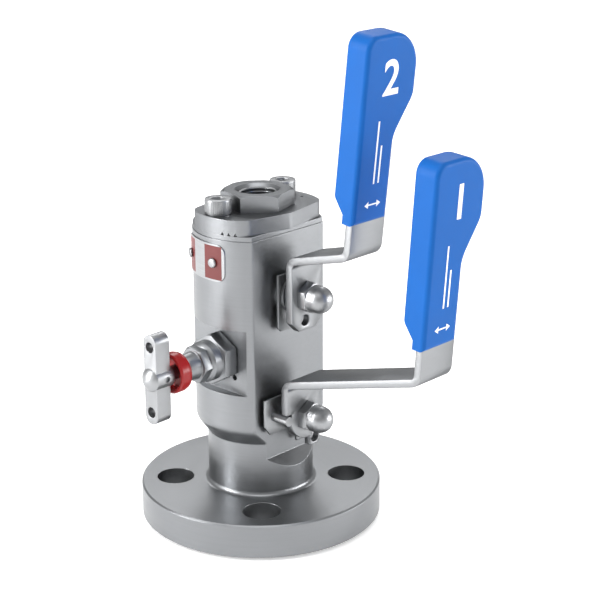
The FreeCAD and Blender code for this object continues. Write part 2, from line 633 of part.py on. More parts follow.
def add_closure():
    ring_radius = s.body_radius - s.spacer_ring_step
    disc = cylinder("ring_disc", ring_radius, s.spacer_ring_thickness, (0, 0, body_top))
    ring_flat = s.flat_distance - s.spacer_ring_inset
    ring_side = box("ring_side", (ring_flat, -FAR, body_top - 1), (FAR, FAR, ring_top + 1))
    openings = [cylinder("ring_bore", s.cavity_radius + s.seat_gap, s.spacer_ring_thickness + 2, (0, 0, body_top - 1))]
    for number, across, along in SCREW_PLACES:
        openings.append(cylinder("ring_screw_hole_%d" % number, s.plate_screw_radius + s.screw_hole_gap,
                                 s.spacer_ring_thickness + 2, (across, along, body_top - 1)))
    piece(cut("spacer_ring", disc, [ring_side] + openings), "spacer_ring")

    radius = s.body_radius - s.plate_step
    wide = s.plate_half_width
    slope = tangent(s.plate_facet_angle)
    narrow = wide - slope * (radius + 5)
    blank = revolved("plate_disc", [(0, ring_top), (radius, ring_top), (radius, plate_face), (0, plate_face)])
    tall = 2 * (plate_face + 5)
    for word, side in (("right", 1), ("left", -1)):
        pocket(blank, "plate_facets_" + word, "XY_Plane", [
            (side * wide, ZERO), (side * narrow, radius + 5), (side * FAR, radius + 5),
            (side * FAR, -radius - 5), (side * narrow, -radius - 5)], tall)
    grade = slope.value
    reach = (wide.value * grade + math.sqrt(radius.value ** 2 * (1 + grade ** 2) - wide.value ** 2)) / (1 + grade ** 2)
    meet = wide.value - grade * reach
    sides = [(side * meet, end * reach) for side in (-1, 1) for end in (-1, 1)]
    fillet(blank, "plate_side_rounds", upright_edge(sides), s.plate_side_round)
    fillet(blank, "plate_corner_rounds", upright_edge([(wide.value, 0), (-wide.value, 0)]), s.plate_corner_round)
    openings = [cylinder("plate_bore", s.cavity_radius + s.seat_gap, s.plate_thickness + 2, (0, 0, ring_top - 1))]
    for number, across, along in SCREW_PLACES:
        openings.append(cylinder("plate_screw_hole_%d" % number, s.plate_screw_radius + s.screw_hole_gap,
                                 s.plate_thickness + 2, (across, along, ring_top - 1)))
    for end in (-1, 1):
        openings.append(cylinder("plate_small_hole_%d" % (end + 1), s.plate_hole_radius, s.plate_hole_depth + 1,
                                 (s.plate_hole_side, end * s.plate_hole_distance, plate_face - s.plate_hole_depth)))
    for index in (-1, 0, 1):
        mark = doc.addObject("Part::Prism", "plate_notch_%d" % (index + 1))
        mark.Polygon = 3
        bind(mark, "Circumradius", s.plate_notch_radius)
        bind(mark, "Height", s.plate_notch_depth + 2)
        angle = s.plate_notch_angle + index * s.plate_notch_spread
        openings.append(radial(mark, angle, radius - s.plate_notch_depth, ring_top + s.plate_notch_radius / 2 - 0.3))
    piece(cut("retaining_plate", blank, openings), "retaining_plate")

    screws = []
    for number, across, along in SCREW_PLACES:
        name = "screw_%d" % number
        shank_length = plate_face - body_top + s.plate_screw_depth
        shank = cylinder(name + "_shank", s.plate_screw_radius, shank_length,
                         (across, along, body_top - s.plate_screw_depth))
        head = cylinder(name + "_head", s.plate_screw_head_radius, s.plate_screw_head_height,
                        (across, along, plate_face))
        solid = join(name + "_solid", [shank, head])
        socket = hexagon(name + "_socket", s.socket_flats, s.socket_depth + 1,
                         (across, along, plate_face + s.plate_screw_head_height - s.socket_depth))
        screws.append(cut(name, solid, [socket]))
    piece(group("plate_screws", screws), "plate_screws")


def add_outlet():
    shank_bottom = secondary_z + s.seat_outer_face
    shank = cylinder("outlet_shank", s.cavity_radius, plate_face - shank_bottom, (0, 0, shank_bottom))
    top = s.outlet_flats / 2 + s.outlet_bevel_step
    head = hexagon("outlet_hexagon", s.outlet_flats, s.outlet_hex_height, (0, 0, plate_face))
    turn(head, FreeCAD.Vector(0, 0, 1), s.outlet_turn)
    bevel = cone("outlet_bevel", top + s.outlet_hex_height * ROOT_THREE, top, s.outlet_hex_height, (0, 0, plate_face))
    hexed = overlap("outlet_head", [head, bevel])
    port_bottom = outlet_face - s.outlet_port_depth
    groove_bottom = shank_bottom + s.seal_groove_height
    groove_ring = cut("groove_cutter",
                      cylinder("groove_outer", s.cavity_radius + 1, s.seal_groove_width, (0, 0, groove_bottom)),
                      [cylinder("groove_inner", s.seal_groove_radius, s.seal_groove_width, (0, 0, groove_bottom))])
    tools = [cylinder("outlet_bore", s.flow_radius, port_bottom - shank_bottom + 2, (0, 0, shank_bottom - 1)),
             cylinder("outlet_port", s.outlet_port_radius, s.outlet_port_depth + 1, (0, 0, port_bottom)),
             cone("outlet_mouth", s.outlet_port_radius, s.outlet_port_radius + s.outlet_chamfer + 0.5,
                  s.outlet_chamfer + 0.5, (0, 0, outlet_face - s.outlet_chamfer)),
             groove_ring]
    piece(cut("outlet_connector", join("outlet_solid", [shank, hexed]), tools), "outlet_connector")
    seal_centre = s.seal_groove_radius + s.seal_radius + s.seat_gap
    piece(torus("outlet_seal", seal_centre, s.seal_radius, (0, 0, groove_bottom + s.seal_groove_width / 2)),
          "outlet_seal")


def add_flow_spacer():
    low = primary_z + s.seat_outer_face
    length = secondary_z - primary_z - 2 * s.seat_outer_face
    tube = cylinder("spacer_tube", s.cavity_radius - s.seat_gap, length, (0, 0, low))
    tools = [cylinder("spacer_bore", s.flow_radius, length + 2, (0, 0, low - 1)),
             cylinder("spacer_port", s.bleed_seat_radius, s.cavity_radius + 1, (s.bleed_offset, 0, bleed_z), "-y")]
    piece(cut("flow_spacer", tube, tools), "flow_spacer")


def add_name_plate():
    low = body_top - s.name_plate_drop - s.name_plate_height
    half = s.name_plate_width / 2
    corners = [(-half, low), (half, low), (half, low + s.name_plate_height), (-half, low + s.name_plate_height)]
    rounds = [(index, s.name_plate_round) for index in range(4)]
    shape = extruded("name_plate_shape", "XZ_Plane", corners, s.body_radius + 5, rounds=rounds)
    tube = cut("name_plate_tube",
               cylinder("name_plate_outer", s.body_radius + s.name_plate_thickness, s.name_plate_height, (0, 0, low)),
               [cylinder("name_plate_inner", s.body_radius, s.name_plate_height, (0, 0, low))])
    plate = overlap("name_plate_blank", [tube, shape])
    turn(plate, FreeCAD.Vector(0, 0, 1), s.name_plate_angle)
    plate.setExpression("Placement.Rotation.Angle", s.name_plate_angle.text)
    holes = [rivet_cylinder("plate_rivet_hole_%d" % (side + 1), side, s.rivet_shank_radius, s.body_radius - 2,
                            sized(5)) for side in (-1, 1)]
    piece(cut("name_plate", plate, holes), "name_plate")
    rivets = []
    for side in (-1, 1):
        name = "rivet_%d" % (side + 1)
        face = s.body_radius + s.name_plate_thickness
        shank = rivet_cylinder(name + "_shank", side, s.rivet_shank_radius, s.body_radius - s.rivet_depth,
                               s.rivet_depth + s.name_plate_thickness + s.rivet_head_height / 2)
        head = rivet_cylinder(name + "_head", side, s.rivet_radius, face, s.rivet_head_height)
        rivets.append(join(name, [shank, head]))
    piece(group("name_plate_rivets", rivets), "name_plate_rivets")


def add_ball(name, height):
    bore = cylinder(name + "_ball_bore", s.flow_radius, 2 * s.ball_radius + 2, (0, 0, -s.ball_radius - 1))
    slot_bottom = s.ball_radius - s.slot_depth
    half = s.tang_thickness / 2 + s.running_gap
    slot = box(name + "_ball_slot", (slot_bottom, -FAR, -half), (s.ball_radius + 1, FAR, half))
    ball = cut(name + "_ball", sphere(name + "_ball_blank", s.ball_radius), [bore, slot])
    piece(place(ball, (0, 0, height)), name + "_ball")


def add_seats(name, height):
    length = s.seat_outer_face - s.seat_inner_face
    rings = []
    for word, low in (("upper", s.seat_inner_face), ("lower", -s.seat_outer_face)):
        start = name + "_" + word + "_seat"
        tube = cylinder(start + "_tube", s.cavity_radius - s.seat_gap, length, (0, 0, low))
        tools = [cylinder(start + "_bore", s.flow_radius, length + 2, (0, 0, low - 1)),
                 sphere(start + "_cup", s.ball_radius + s.ball_clearance)]
        rings.append(cut(start, tube, tools))
    piece(place(group(name + "_seats", rings), (0, 0, height)), name + "_seats")


def add_stem(name, height):
    slot_bottom = s.ball_radius - s.slot_depth
    tang_half = s.tang_thickness / 2
    tang_start = slot_bottom + s.stack_gap
    tang = overlap(name + "_stem_tang", [
        box(name + "_stem_tang_box", (tang_start, -s.tang_width / 2, -tang_half),
            (s.ball_radius + 1, s.tang_width / 2, tang_half)),
        cylinder(name + "_stem_tang_round", s.stem_radius, s.ball_radius + 1, (0, 0, 0), "x")])
    rod = cylinder(name + "_stem_rod", s.stem_radius, lever_front - s.ball_radius - 0.5,
                   (s.ball_radius + 0.5, 0, 0), "x")
    shoulder = cylinder(name + "_stem_shoulder", s.stem_port_radius - s.stack_gap, s.shoulder_thickness,
                        (shoulder_inner, 0, 0), "x")
    thread = cylinder(name + "_stem_thread", s.thread_radius, s.thread_length + 1, (lever_front - 1, 0, 0), "x")
    solid = join(name + "_stem_solid", [tang, rod, shoulder, thread])
    half = s.drive_flats / 2
    sides = [box(name + "_stem_side_%d" % (side + 1), (lever_back, low, -FAR), (FAR, high, FAR))
             for side, low, high in ((-1, -FAR, -half), (1, half, FAR))]
    threadless = [cut(name + "_stem_sides", join(name + "_stem_side_pair", sides),
                      [cylinder(name + "_stem_thread_keep", s.thread_radius, FAR, (lever_front, 0, 0), "x")])]
    piece(place(cut(name + "_stem", solid, threadless), (0, 0, height)), name + "_stem")


def add_stem_rings(name, height):
    inner = s.stem_radius + s.running_gap
    outer = s.stem_port_radius - s.running_gap
    for word, start, end, radius in (
            ("thrust_washer", s.stem_port_depth, washer_outer, outer),
            ("stem_packing", packing_inner, s.flat_distance, outer),
            ("gland_flange", s.flat_distance, gland_outer, s.gland_flange_radius)):
        title = name + "_" + word
        tube = cylinder(title + "_tube", radius, end - start, (start, 0, 0), "x")
        bore = cylinder(title + "_bore", inner, end - start + 2, (start - 1, 0, 0), "x")
        piece(place(cut(title, tube, [bore]), (0, 0, height)), title)


def primary_plate():
    """The lower stop plate from the front: low only where it backs the lever's lug."""
    left = s.primary_plate_left
    right = s.primary_plate_right
    step = s.primary_plate_step
    bevel = s.primary_plate_bevel
    bottom = s.primary_plate_bottom
    slant = s.primary_plate_slant
    corner = s.primary_plate_corner
    return [(-left, s.plate_top), (-left, bevel * 1.4 - step), (bevel - left, -step), (s.notch_side - slant, -step),
            (s.notch_side, -bottom), (right - corner, -bottom), (right, corner - bottom), (right, s.plate_top)]


def secondary_plate():
    """The upper stop plate from the front, with bevelled lower corners."""
    half = s.secondary_plate_half
    bevel = s.secondary_plate_bevel
    bottom = s.secondary_plate_bottom
    return [(-half, s.plate_top), (-half, bevel - bottom), (bevel - half, -bottom),
            (half - bevel, -bottom), (half, bevel - bottom), (half, s.plate_top)]


def add_stop_plate(name, height, corners, lock_at=None):
    blank = extruded(name + "_stop_blank", "YZ_Plane", corners, s.stop_plate_thickness, gland_outer)
    tools = [cylinder(name + "_stop_bore", s.stem_radius + s.running_gap, FAR, (0, 0, 0), "x")]
    if lock_at is not None:
        tools.append(cylinder(name + "_stop_lock_hole", s.lock_hole_radius, FAR, lock_at, "x"))
    piece(place(cut(name + "_stop_plate", blank, tools), (0, 0, height)), name + "_stop_plate")


def add_disc_springs(name, height):
    """Two dished washers, rim to rim, that load the packing through the gland nut."""
    inner = s.stem_radius + s.running_gap
    springs = []
    middle = stop_plate_outer + s.spring_thickness + s.spring_rise
    for word, at_stem, at_rim in (("inner", stop_plate_outer, stop_plate_outer + s.spring_rise),
                                  ("outer", middle + s.spring_rise, middle)):
        ring = revolved("%s_%s_spring" % (name, word), [
            (inner, at_stem), (s.spring_radius, at_rim), (s.spring_radius, at_rim + s.spring_thickness),
            (inner, at_stem + s.spring_thickness)])
        springs.append(place(ring, (0, 0, 0), "x"))
    piece(place(group(name + "_disc_springs", springs), (0, 0, height)), name + "_disc_springs")


def add_gland_nut(name, height):
    nut = hexagon(name + "_gland_hex", s.gland_nut_flats, s.gland_nut_thickness, (springs_outer, 0, 0), "x")
    corner = s.gland_nut_flats / ROOT_THREE
    bevel = cone(name + "_gland_bevel", corner + s.gland_nut_thickness - 0.6, corner - 0.6, s.gland_nut_thickness,
                 (springs_outer, 0, 0), "x")
    bore = cylinder(name + "_gland_bore", s.stem_radius + s.running_gap, FAR, (0, 0, 0), "x")
    shaped = overlap(name + "_gland_shaped", [nut, bevel])
    piece(place(cut(name + "_gland_nut", shaped, [bore]), (0, 0, height)), name + "_gland_nut")


def add_cap_nut(name, height):
    hex_end = lever_front + s.cap_nut_hex_height
    neck_end = hex_end + s.cap_nut_neck
    hex_part = hexagon(name + "_cap_hex", s.cap_nut_flats, s.cap_nut_hex_height, (lever_front, 0, 0), "x")
    corner = s.cap_nut_flats / ROOT_THREE
    bevel = cone(name + "_cap_bevel", corner + s.cap_nut_hex_height - 0.7, corner - 0.7, s.cap_nut_hex_height,
                 (lever_front, 0, 0), "x")
    neck = cylinder(name + "_cap_neck", s.cap_nut_radius, neck_end - lever_front, (lever_front, 0, 0), "x")
    dome = sphere(name + "_cap_dome", s.cap_nut_radius, (neck_end, 0, 0))
    shaped = overlap(name + "_cap_shaped", [hex_part, bevel])
    solid = join(name + "_cap_solid", [shaped, neck, dome])
    bore = cylinder(name + "_cap_bore", s.thread_radius + s.cap_nut_wall, s.thread_length + s.cap_nut_wall,
                    (lever_front, 0, 0), "x")
    piece(place(cut(name + "_cap_nut", solid, [bore]), (0, 0, height)), name + "_cap_nut")


def lever_lines(reach, lean):
    """Corners of a lever's side view: foot, bend under the arm, bend under the grip."""
    rise = tangent(s.arm_rise)
    thickness_along = s.lever_thickness / cosine(s.arm_rise)
    top = s.arm_start
    first_outer = (lever_back, top + lever_back * rise)
    first_inner = (lever_front, top - thickness_along + lever_front * rise)
    second_outer = (reach, top - thickness_along + reach * rise)
    tilt = tangent(lean)
    across = s.lever_thickness / cosine(lean)
    inner_x = (reach - across + (top - second_outer[1]) * tilt) / (1 - rise * tilt)
    second_inner = (inner_x, top + inner_x * rise)
    end_rise = (s.grip_start + s.tang_depth) * cosine(lean)
    end_out = (s.grip_start + s.tang_depth) * sine(lean)
    tip_front = (reach + end_out, second_outer[1] + end_rise)
    tip_back = (tip_front[0] - s.lever_thickness * cosine(lean), tip_front[1] + s.lever_thickness * sine(lean))
    return first_outer, first_inner, second_outer, second_inner, tip_front, tip_back


def add_lever(name, height, reach, lean, front_view, stem_left, stem_right, lock_at, extra_tools):
    first_outer, first_inner, second_outer, second_inner, tip_front, tip_back = lever_lines(reach, lean)
    side = extruded(name + "_lever_side", "XZ_Plane", [
        (lever_back, -s.tail_length), (lever_front, -s.tail_length), first_inner, second_outer,
        tip_front, tip_back, second_inner, first_outer],
        FAR, symmetric=True,
        rounds=[(2, s.bend_radius), (6, s.bend_radius),
                (3, s.bend_radius + s.lever_thickness), (7, s.bend_radius + s.lever_thickness)])
    front = extruded(name + "_lever_front", "YZ_Plane", front_view(tip_back[1] + 1), FAR + reach)
    bend_start = lever_front + s.bend_radius
    bend_end = reach - s.lever_thickness - s.bend_radius
    plan = extruded(name + "_lever_plan", "XY_Plane", [
        (0, -stem_left), (bend_start, -stem_left), (bend_end, -s.tang_left), (reach + FAR, -s.tang_left),
        (reach + FAR, s.tang_right), (bend_end, s.tang_right), (bend_start, stem_right), (0, stem_right)],
        2 * FAR + reach, -FAR)
    blank = overlap(name + "_lever_blank", [side, front, plan])
    half = s.drive_flats / 2 + s.running_gap
    drive = overlap(name + "_lever_drive", [
        cylinder(name + "_lever_drive_round", s.stem_radius + s.running_gap, FAR, (0, 0, 0), "x"),
        box(name + "_lever_drive_box", (0, -half, -FAR), (FAR, half, FAR))])
    lock = cylinder(name + "_lever_lock_hole", s.lock_hole_radius, lever_front + 2, lock_at, "x")
    piece(place(cut(name + "_lever", blank, [drive, lock] + extra_tools), (0, 0, height)), name + "_lever")


def primary_front(top):
    """The lower lever seen from the front, down to its lug."""
    left = -s.primary_left
    right = s.primary_right
    corner = s.lug_corner
    return [(left, top), (left, -s.tail_length), (right - corner, -s.tail_length), (right, corner - s.tail_length),
            (right, ZERO), (s.tang_right, s.lever_step), (s.tang_right, top)]


def pin_notch():
    """The quarter ring that the fixed pin runs in while the lower lever turns."""
    over_pin = s.stop_pin_height + s.stop_pin_radius + s.stack_gap
    corner = box("notch_corner", (0, -FAR, -FAR), (FAR, s.notch_side, over_pin))
    return cut("pin_notch", corner, [cylinder("notch_middle", s.notch_radius, FAR, (0, 0, 0), "x")])


def secondary_front(top):
    """The upper lever seen from the front, with clipped lower corners."""
    half = s.secondary_half_width
    tail_corner = s.tail_length - half + s.tail_half_width
    wide = s.tang_left
    return [(-wide, top), (-wide, -tail_corner), (-half, -tail_corner), (-s.tail_half_width, -s.tail_length),
            (s.tail_half_width, -s.tail_length), (half, -tail_corner), (half, top)]


def add_grip(name, height, reach, lean):
    second_outer = lever_lines(reach, lean)[2]
    start_x = reach + s.grip_start * sine(lean)
    start_z = height + second_outer[1] + s.grip_start * cosine(lean)
    back = s.grip_wall - s.grip_depth
    foot_back = s.grip_wall - s.grip_foot_depth
    wide = s.grip_right + s.grip_bulge
    corners = [(-s.grip_left, ZERO), (s.grip_right, ZERO), (s.grip_right, s.grip_waist_height),
               (wide, s.grip_waist_height + s.grip_bulge_rise), (wide, s.grip_length), (-s.grip_left, s.grip_length)]
    body = extruded(name + "_grip_blank", "YZ_Plane", corners, s.grip_depth, back, rounds=[
        (2, s.grip_waist_round), (3, s.grip_shoulder_round), (4, s.grip_head_round), (5, s.grip_corner_round)])
    lean_to = extruded(name + "_grip_heel", "XZ_Plane", [
        (back - 5, sized(-5)), (foot_back, sized(-5)), (foot_back, s.grip_foot_height),
        (back, s.grip_foot_height + s.grip_slope_height), (back - 5, s.grip_foot_height + s.grip_slope_height)],
        FAR, symmetric=True)

    def rim(edge):
        front = all(abs(vertex.Point.x - s.grip_wall.value) < 0.001 for vertex in edge.Vertexes)
        rear = all(abs(vertex.Point.x - back.value) < 0.001 for vertex in edge.Vertexes)
        return front or rear

    fillet(body, name + "_grip_rim", rim, s.grip_edge_round)
    thickness = s.lever_thickness + s.tang_play
    slot = box(name + "_grip_slot", (-thickness, -s.tang_left - s.tang_play, sized(-1)),
               (s.tang_play, s.tang_right + s.tang_play, s.tang_depth + s.tang_play))
    grip = cut(name + "_grip", body, [lean_to, slot])
    place(grip, (start_x, 0, start_z))
    turn(grip, FreeCAD.Vector(0, 1, 0), lean)
    for letter, part in (("x", start_x), ("z", start_z)):
        grip.setExpression("Placement.Base.%s" % letter, part.text)
    piece(grip, name + "_grip")


def add_stop_pin():
    pin = cylinder("primary_stop_pin", s.stop_pin_radius, lever_front + s.stop_pin_front - stop_plate_outer,
                   (stop_plate_outer, -s.stop_pin_distance, primary_z + s.stop_pin_height), "x")
    piece(pin, "primary_stop_pin")


def add_ball_valves():
    add_stop_pin()
    for name, height in (("primary", primary_z), ("secondary", secondary_z)):
        add_ball(name, height)
        add_seats(name, height)
        add_stem(name, height)
        add_stem_rings(name, height)
        add_disc_springs(name, height)
        add_gland_nut(name, height)
        add_cap_nut(name, height)
    primary_lock = (0, s.primary_lock_side, -s.primary_lock_drop)
    secondary_lock = (0, s.secondary_lock_side, -s.secondary_lock_drop)
    add_stop_plate("primary", primary_z, primary_plate(), primary_lock)
    add_stop_plate("secondary", secondary_z, secondary_plate())
    add_lever("primary", primary_z, s.primary_reach, s.primary_lean, primary_front,
              s.primary_left, s.primary_right, primary_lock, [pin_notch()])
    add_lever("secondary", secondary_z, s.secondary_reach, s.secondary_lean, secondary_front,
              s.secondary_half_width, s.secondary_half_width, secondary_lock, [])
    add_grip("primary", primary_z, s.primary_reach, s.primary_lean)
    add_grip("secondary", secondary_z, s.secondary_reach, s.secondary_lean)


def bleed_place(thing):
    return place(thing, (s.bleed_offset, 0, bleed_z), "-y")


def add_bleed_valve():
    bore = s.spindle_thread_radius + s.running_gap
    packing_end = s.packing_start + s.packing_length
    shank = cylinder("bonnet_shank", s.bonnet_shank_radius, s.pocket_distance - chamber_outer, (0, 0, chamber_outer))
    collar = cylinder("bonnet_collar", s.bonnet_collar_radius, s.bonnet_collar_length, (0, 0, s.pocket_distance))
    head = hexagon("bonnet_hexagon", s.bonnet_flats, s.bonnet_hex_length, (0, 0, bonnet_hex_start))
    turn(head, FreeCAD.Vector(0, 0, 1), s.bonnet_turn)
    corner = s.bonnet_flats / ROOT_THREE
    bevel = cone("bonnet_bevel", corner + s.bonnet_hex_length - 1, corner - 1, s.bonnet_hex_length,
                 (0, 0, bonnet_hex_start))
    barrel = cylinder("bonnet_barrel", s.bonnet_barrel_radius, s.bonnet_barrel_length, (0, 0, bonnet_barrel_start))
    nose = cone("bonnet_nose", s.bonnet_barrel_radius, s.bonnet_barrel_radius - s.bonnet_nose_length,
                s.bonnet_nose_length, (0, 0, bonnet_barrel_start + s.bonnet_barrel_length))
    solid = join("bonnet_solid", [shank, collar, overlap("bonnet_head", [head, bevel]), barrel, nose])
    tools = [cylinder("bonnet_thread_bore", bore, FAR, (0, 0, 0)),
             cylinder("bonnet_packing_bore", s.packing_radius, FAR, (0, 0, s.packing_start))]
    piece(bleed_place(cut("bleed_bonnet", solid, tools)), "bleed_bonnet")

    ring = cylinder("bleed_packing_tube", s.packing_radius, s.packing_length, (0, 0, s.packing_start))
    hole = cylinder("bleed_packing_bore", s.spindle_radius + s.running_gap, FAR, (0, 0, s.packing_start - 1))
    piece(bleed_place(cut("bleed_packing", ring, [hole])), "bleed_packing")

    nut_hex = hexagon("packing_nut_hexagon", s.packing_nut_flats, s.packing_nut_hex_length, (0, 0, bonnet_end))
    turn(nut_hex, FreeCAD.Vector(0, 0, 1), s.packing_nut_turn)
    nut_corner = s.packing_nut_flats / ROOT_THREE
    nut_bevel = cone("packing_nut_bevel", nut_corner + s.packing_nut_hex_length - 0.9, nut_corner - 0.9,
                     s.packing_nut_hex_length, (0, 0, bonnet_end))
    spigot = cylinder("packing_nut_spigot", s.packing_radius, bonnet_end - packing_end, (0, 0, packing_end))
    hex_end = bonnet_end + s.packing_nut_hex_length
    nose = cone("packing_nut_nose", s.packing_nut_collar_radius, s.packing_nut_collar_radius - 0.7,
                s.packing_nut_collar_length, (0, 0, hex_end))
    nut = join("packing_nut_solid", [overlap("packing_nut_head", [nut_hex, nut_bevel]), spigot, nose])
    nut_bore = cylinder("packing_nut_bore", s.spindle_radius + s.running_gap, FAR, (0, 0, packing_end - 1))
    piece(bleed_place(cut("bleed_packing_nut", nut, [nut_bore])), "bleed_packing_nut")

    spindle_end = s.tee_start + s.tee_hub_length - 3
    rod = cylinder("spindle_rod", s.spindle_radius, spindle_end - s.spindle_inner_end, (0, 0, s.spindle_inner_end))
    thread = cylinder("spindle_thread", s.spindle_thread_radius, s.spindle_thread_length, (0, 0, s.spindle_inner_end))
    piece(bleed_place(join("bleed_spindle", [rod, thread])), "bleed_spindle")

    tip = s.bleed_seat_distance - s.needle_tip_reach
    tip_end = tip + s.needle_tip_length
    needle = join("bleed_needle", [
        cone("needle_tip", s.needle_tip_radius, s.needle_radius, s.needle_tip_length, (0, 0, tip)),
        cylinder("needle_back", s.needle_radius, s.spindle_inner_end - s.needle_gap - tip_end, (0, 0, tip_end))])
    piece(bleed_place(needle), "bleed_needle")

    start = s.dust_cap_start
    end = start + s.dust_cap_length
    rim = s.dust_cap_radius
    inner = rim - s.dust_cap_wall
    floor = end - s.dust_cap_dish
    cap = revolved("dust_cap", [
        (s.spindle_radius, start), (s.spindle_radius + 2.2, start), (rim - 2.2, start + 0.9),
        (rim - 0.5, start + 2.4), (rim, start + 4.2), (rim, end - 0.6), (rim - 0.7, end),
        (inner, end), (inner - 0.5, end - 0.6), (inner - 1.2, floor), (s.spindle_radius, floor)])
    piece(bleed_place(cap), "bleed_dust_cap")
    add_tee_handle(spindle_end)

    pin = cylinder("bleed_lock_pin", s.lock_pin_radius, s.lock_pin_depth - s.lock_pin_recess,
                   (s.bleed_offset + s.lock_pin_x, s.lock_pin_depth - s.pocket_distance, bleed_z - s.lock_pin_drop), "-y")
    piece(pin, "bleed_lock_pin")


def add_tee_handle(spindle_end):
    bar_low = s.tee_start + s.tee_bar_start
    bar_high = bar_low + s.tee_bar_depth
    half = s.tee_bar_width / 2
    straight = s.tee_bar_length / 2 - half
    hub_end = s.tee_start + s.tee_hub_length
    hub = cylinder("tee_hub", s.tee_hub_radius, s.tee_hub_length, (0, 0, s.tee_start))
    drop = (s.tee_hub_radius * s.tee_hub_radius - s.tee_dome_height * s.tee_dome_height) / (2 * s.tee_dome_height)
    dome_ball = sphere("tee_dome_ball", drop + s.tee_dome_height, (0, 0, hub_end - drop))
    dome = overlap("tee_dome", [dome_ball, cylinder("tee_dome_limit", s.tee_hub_radius, FAR, (0, 0, hub_end - 1))])
    bar = box("tee_bar", (-half, -straight, bar_low), (half, straight, bar_high))
    ends = [cylinder("tee_end_%d" % (side + 1), half, s.tee_bar_depth, (0, side * straight, bar_low))
            for side in (-1, 1)]
    solid = join("tee_solid", [hub, dome, bar] + ends)
    tools = [cylinder("tee_hole_%d" % (side + 1), s.tee_hole_radius, FAR, (0, side * s.tee_hole_distance, s.tee_start))
             for side in (-1, 1)]
    tools.append(cylinder("tee_bore", s.spindle_radius + s.running_gap, spindle_end - s.tee_start + 1,
                          (0, 0, s.tee_start - 1)))
    screw_at = s.tee_start + s.set_screw_distance
    tools.append(cylinder("tee_screw_hole", s.set_screw_radius, FAR, (0, 0, screw_at), "x"))
    piece(bleed_place(cut("bleed_tee_handle", solid, tools)), "bleed_tee_handle")
    length = s.tee_hub_radius - s.spindle_radius - s.set_screw_recess
    screw = cylinder("bleed_set_screw", s.set_screw_radius, length, (0, 0, 0), "x")
    place(screw, (s.bleed_offset + s.spindle_radius, -screw_at, bleed_z), "x")
    piece(screw, "bleed_set_screw")


def write_pieces():
    doc.recompute()
    for thing in doc.Objects:
        bad = [state for state in thing.State if state in ("Invalid", "Error")]
        if bad:
            raise RuntimeError("%s is %s" % (thing.Name, bad))
    for thing in pieces:
        if thing.Shape.isNull() or not thing.Shape.isValid() or not thing.Shape.Solids:
            raise RuntimeError("%s has no valid solid" % thing.Label)
    os.makedirs("parts", exist_ok=True)
    for thing in pieces:
        thing.Shape.exportStep("parts/%s.step" % thing.Label)
        print("%-28s solids %d volume %.1f" % (thing.Label, len(thing.Shape.Solids), thing.Shape.Volume))


add_valve_body()
add_closure()
add_outlet()
add_flow_spacer()
add_name_plate()
add_ball_valves()
add_bleed_valve()
write_pieces()
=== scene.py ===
"""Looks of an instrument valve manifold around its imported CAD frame.

The file is laid out as a Blender add-on: property groups hold the sizes and colours, one operator
makes each piece or group of like pieces, and a panel lists them. Run as a script, it makes them all.
"""

import json
import math

import bmesh
import bpy
from mathutils import Matrix, Vector

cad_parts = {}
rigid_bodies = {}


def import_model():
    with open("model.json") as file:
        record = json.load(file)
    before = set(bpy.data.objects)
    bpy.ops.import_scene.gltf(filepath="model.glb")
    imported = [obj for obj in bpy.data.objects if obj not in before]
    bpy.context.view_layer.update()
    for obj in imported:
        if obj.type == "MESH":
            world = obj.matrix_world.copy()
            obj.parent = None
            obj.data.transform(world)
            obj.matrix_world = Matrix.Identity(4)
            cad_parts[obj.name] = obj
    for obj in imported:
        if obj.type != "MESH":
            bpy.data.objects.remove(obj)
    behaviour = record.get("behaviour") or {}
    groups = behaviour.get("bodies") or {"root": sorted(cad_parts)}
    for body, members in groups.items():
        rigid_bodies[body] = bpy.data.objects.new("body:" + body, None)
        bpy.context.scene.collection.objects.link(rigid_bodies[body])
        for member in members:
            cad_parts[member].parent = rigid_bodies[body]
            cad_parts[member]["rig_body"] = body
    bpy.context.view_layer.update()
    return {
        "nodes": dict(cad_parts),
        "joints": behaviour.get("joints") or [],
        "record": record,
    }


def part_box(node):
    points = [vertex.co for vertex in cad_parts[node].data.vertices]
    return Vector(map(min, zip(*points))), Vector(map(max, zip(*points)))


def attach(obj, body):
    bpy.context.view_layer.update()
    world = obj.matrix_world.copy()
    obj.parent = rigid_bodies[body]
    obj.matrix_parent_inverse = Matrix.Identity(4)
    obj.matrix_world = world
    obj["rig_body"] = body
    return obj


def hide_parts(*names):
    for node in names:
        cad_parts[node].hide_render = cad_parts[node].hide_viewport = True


bl_info = {
    "name": "Valve manifold looks",
    "version": (1, 0, 0),
    "blender": (4, 5, 0),
    "location": "View3D > Sidebar > Manifold",
    "description": "Finishes and details of a double block and bleed valve manifold",
    "category": "Object",
}

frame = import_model()
NODES = frame["nodes"]
JOINTS = {joint["name"]: joint for joint in frame["joints"]}
MOUNTS = {mount["name"]: mount for mount in frame["record"]["mounts"]}

MM = 0.001
PRIMARY_HEIGHT = JOINTS["primary_turn"]["pos_m"][2]
SECONDARY_HEIGHT = JOINTS["secondary_turn"]["pos_m"][2]
BLEED_X, _, BLEED_HEIGHT = JOINTS["bleed_turn"]["pos_m"]

# Axes that pieces were turned about: the letter of the axis, and a point on it.
BORE_AXIS = ("Z", (0, 0, 0))
BLEED_AXIS = ("Y", (BLEED_X, 0, BLEED_HEIGHT))
STEM_AXES = {"primary": ("X", (0, 0, PRIMARY_HEIGHT)), "secondary": ("X", (0, 0, SECONDARY_HEIGHT))}

# Copied CAD meshes: corners this near are one, edges this flat are left out, edges that turn
# by more than the third angle are rounded, and by more than the fourth are shaded sharp.
SAME_CORNER = 4e-6
FLAT_EDGE = math.radians(0.6)
ROUNDED_EDGE = math.radians(32)
SHARP_EDGE = math.radians(40)

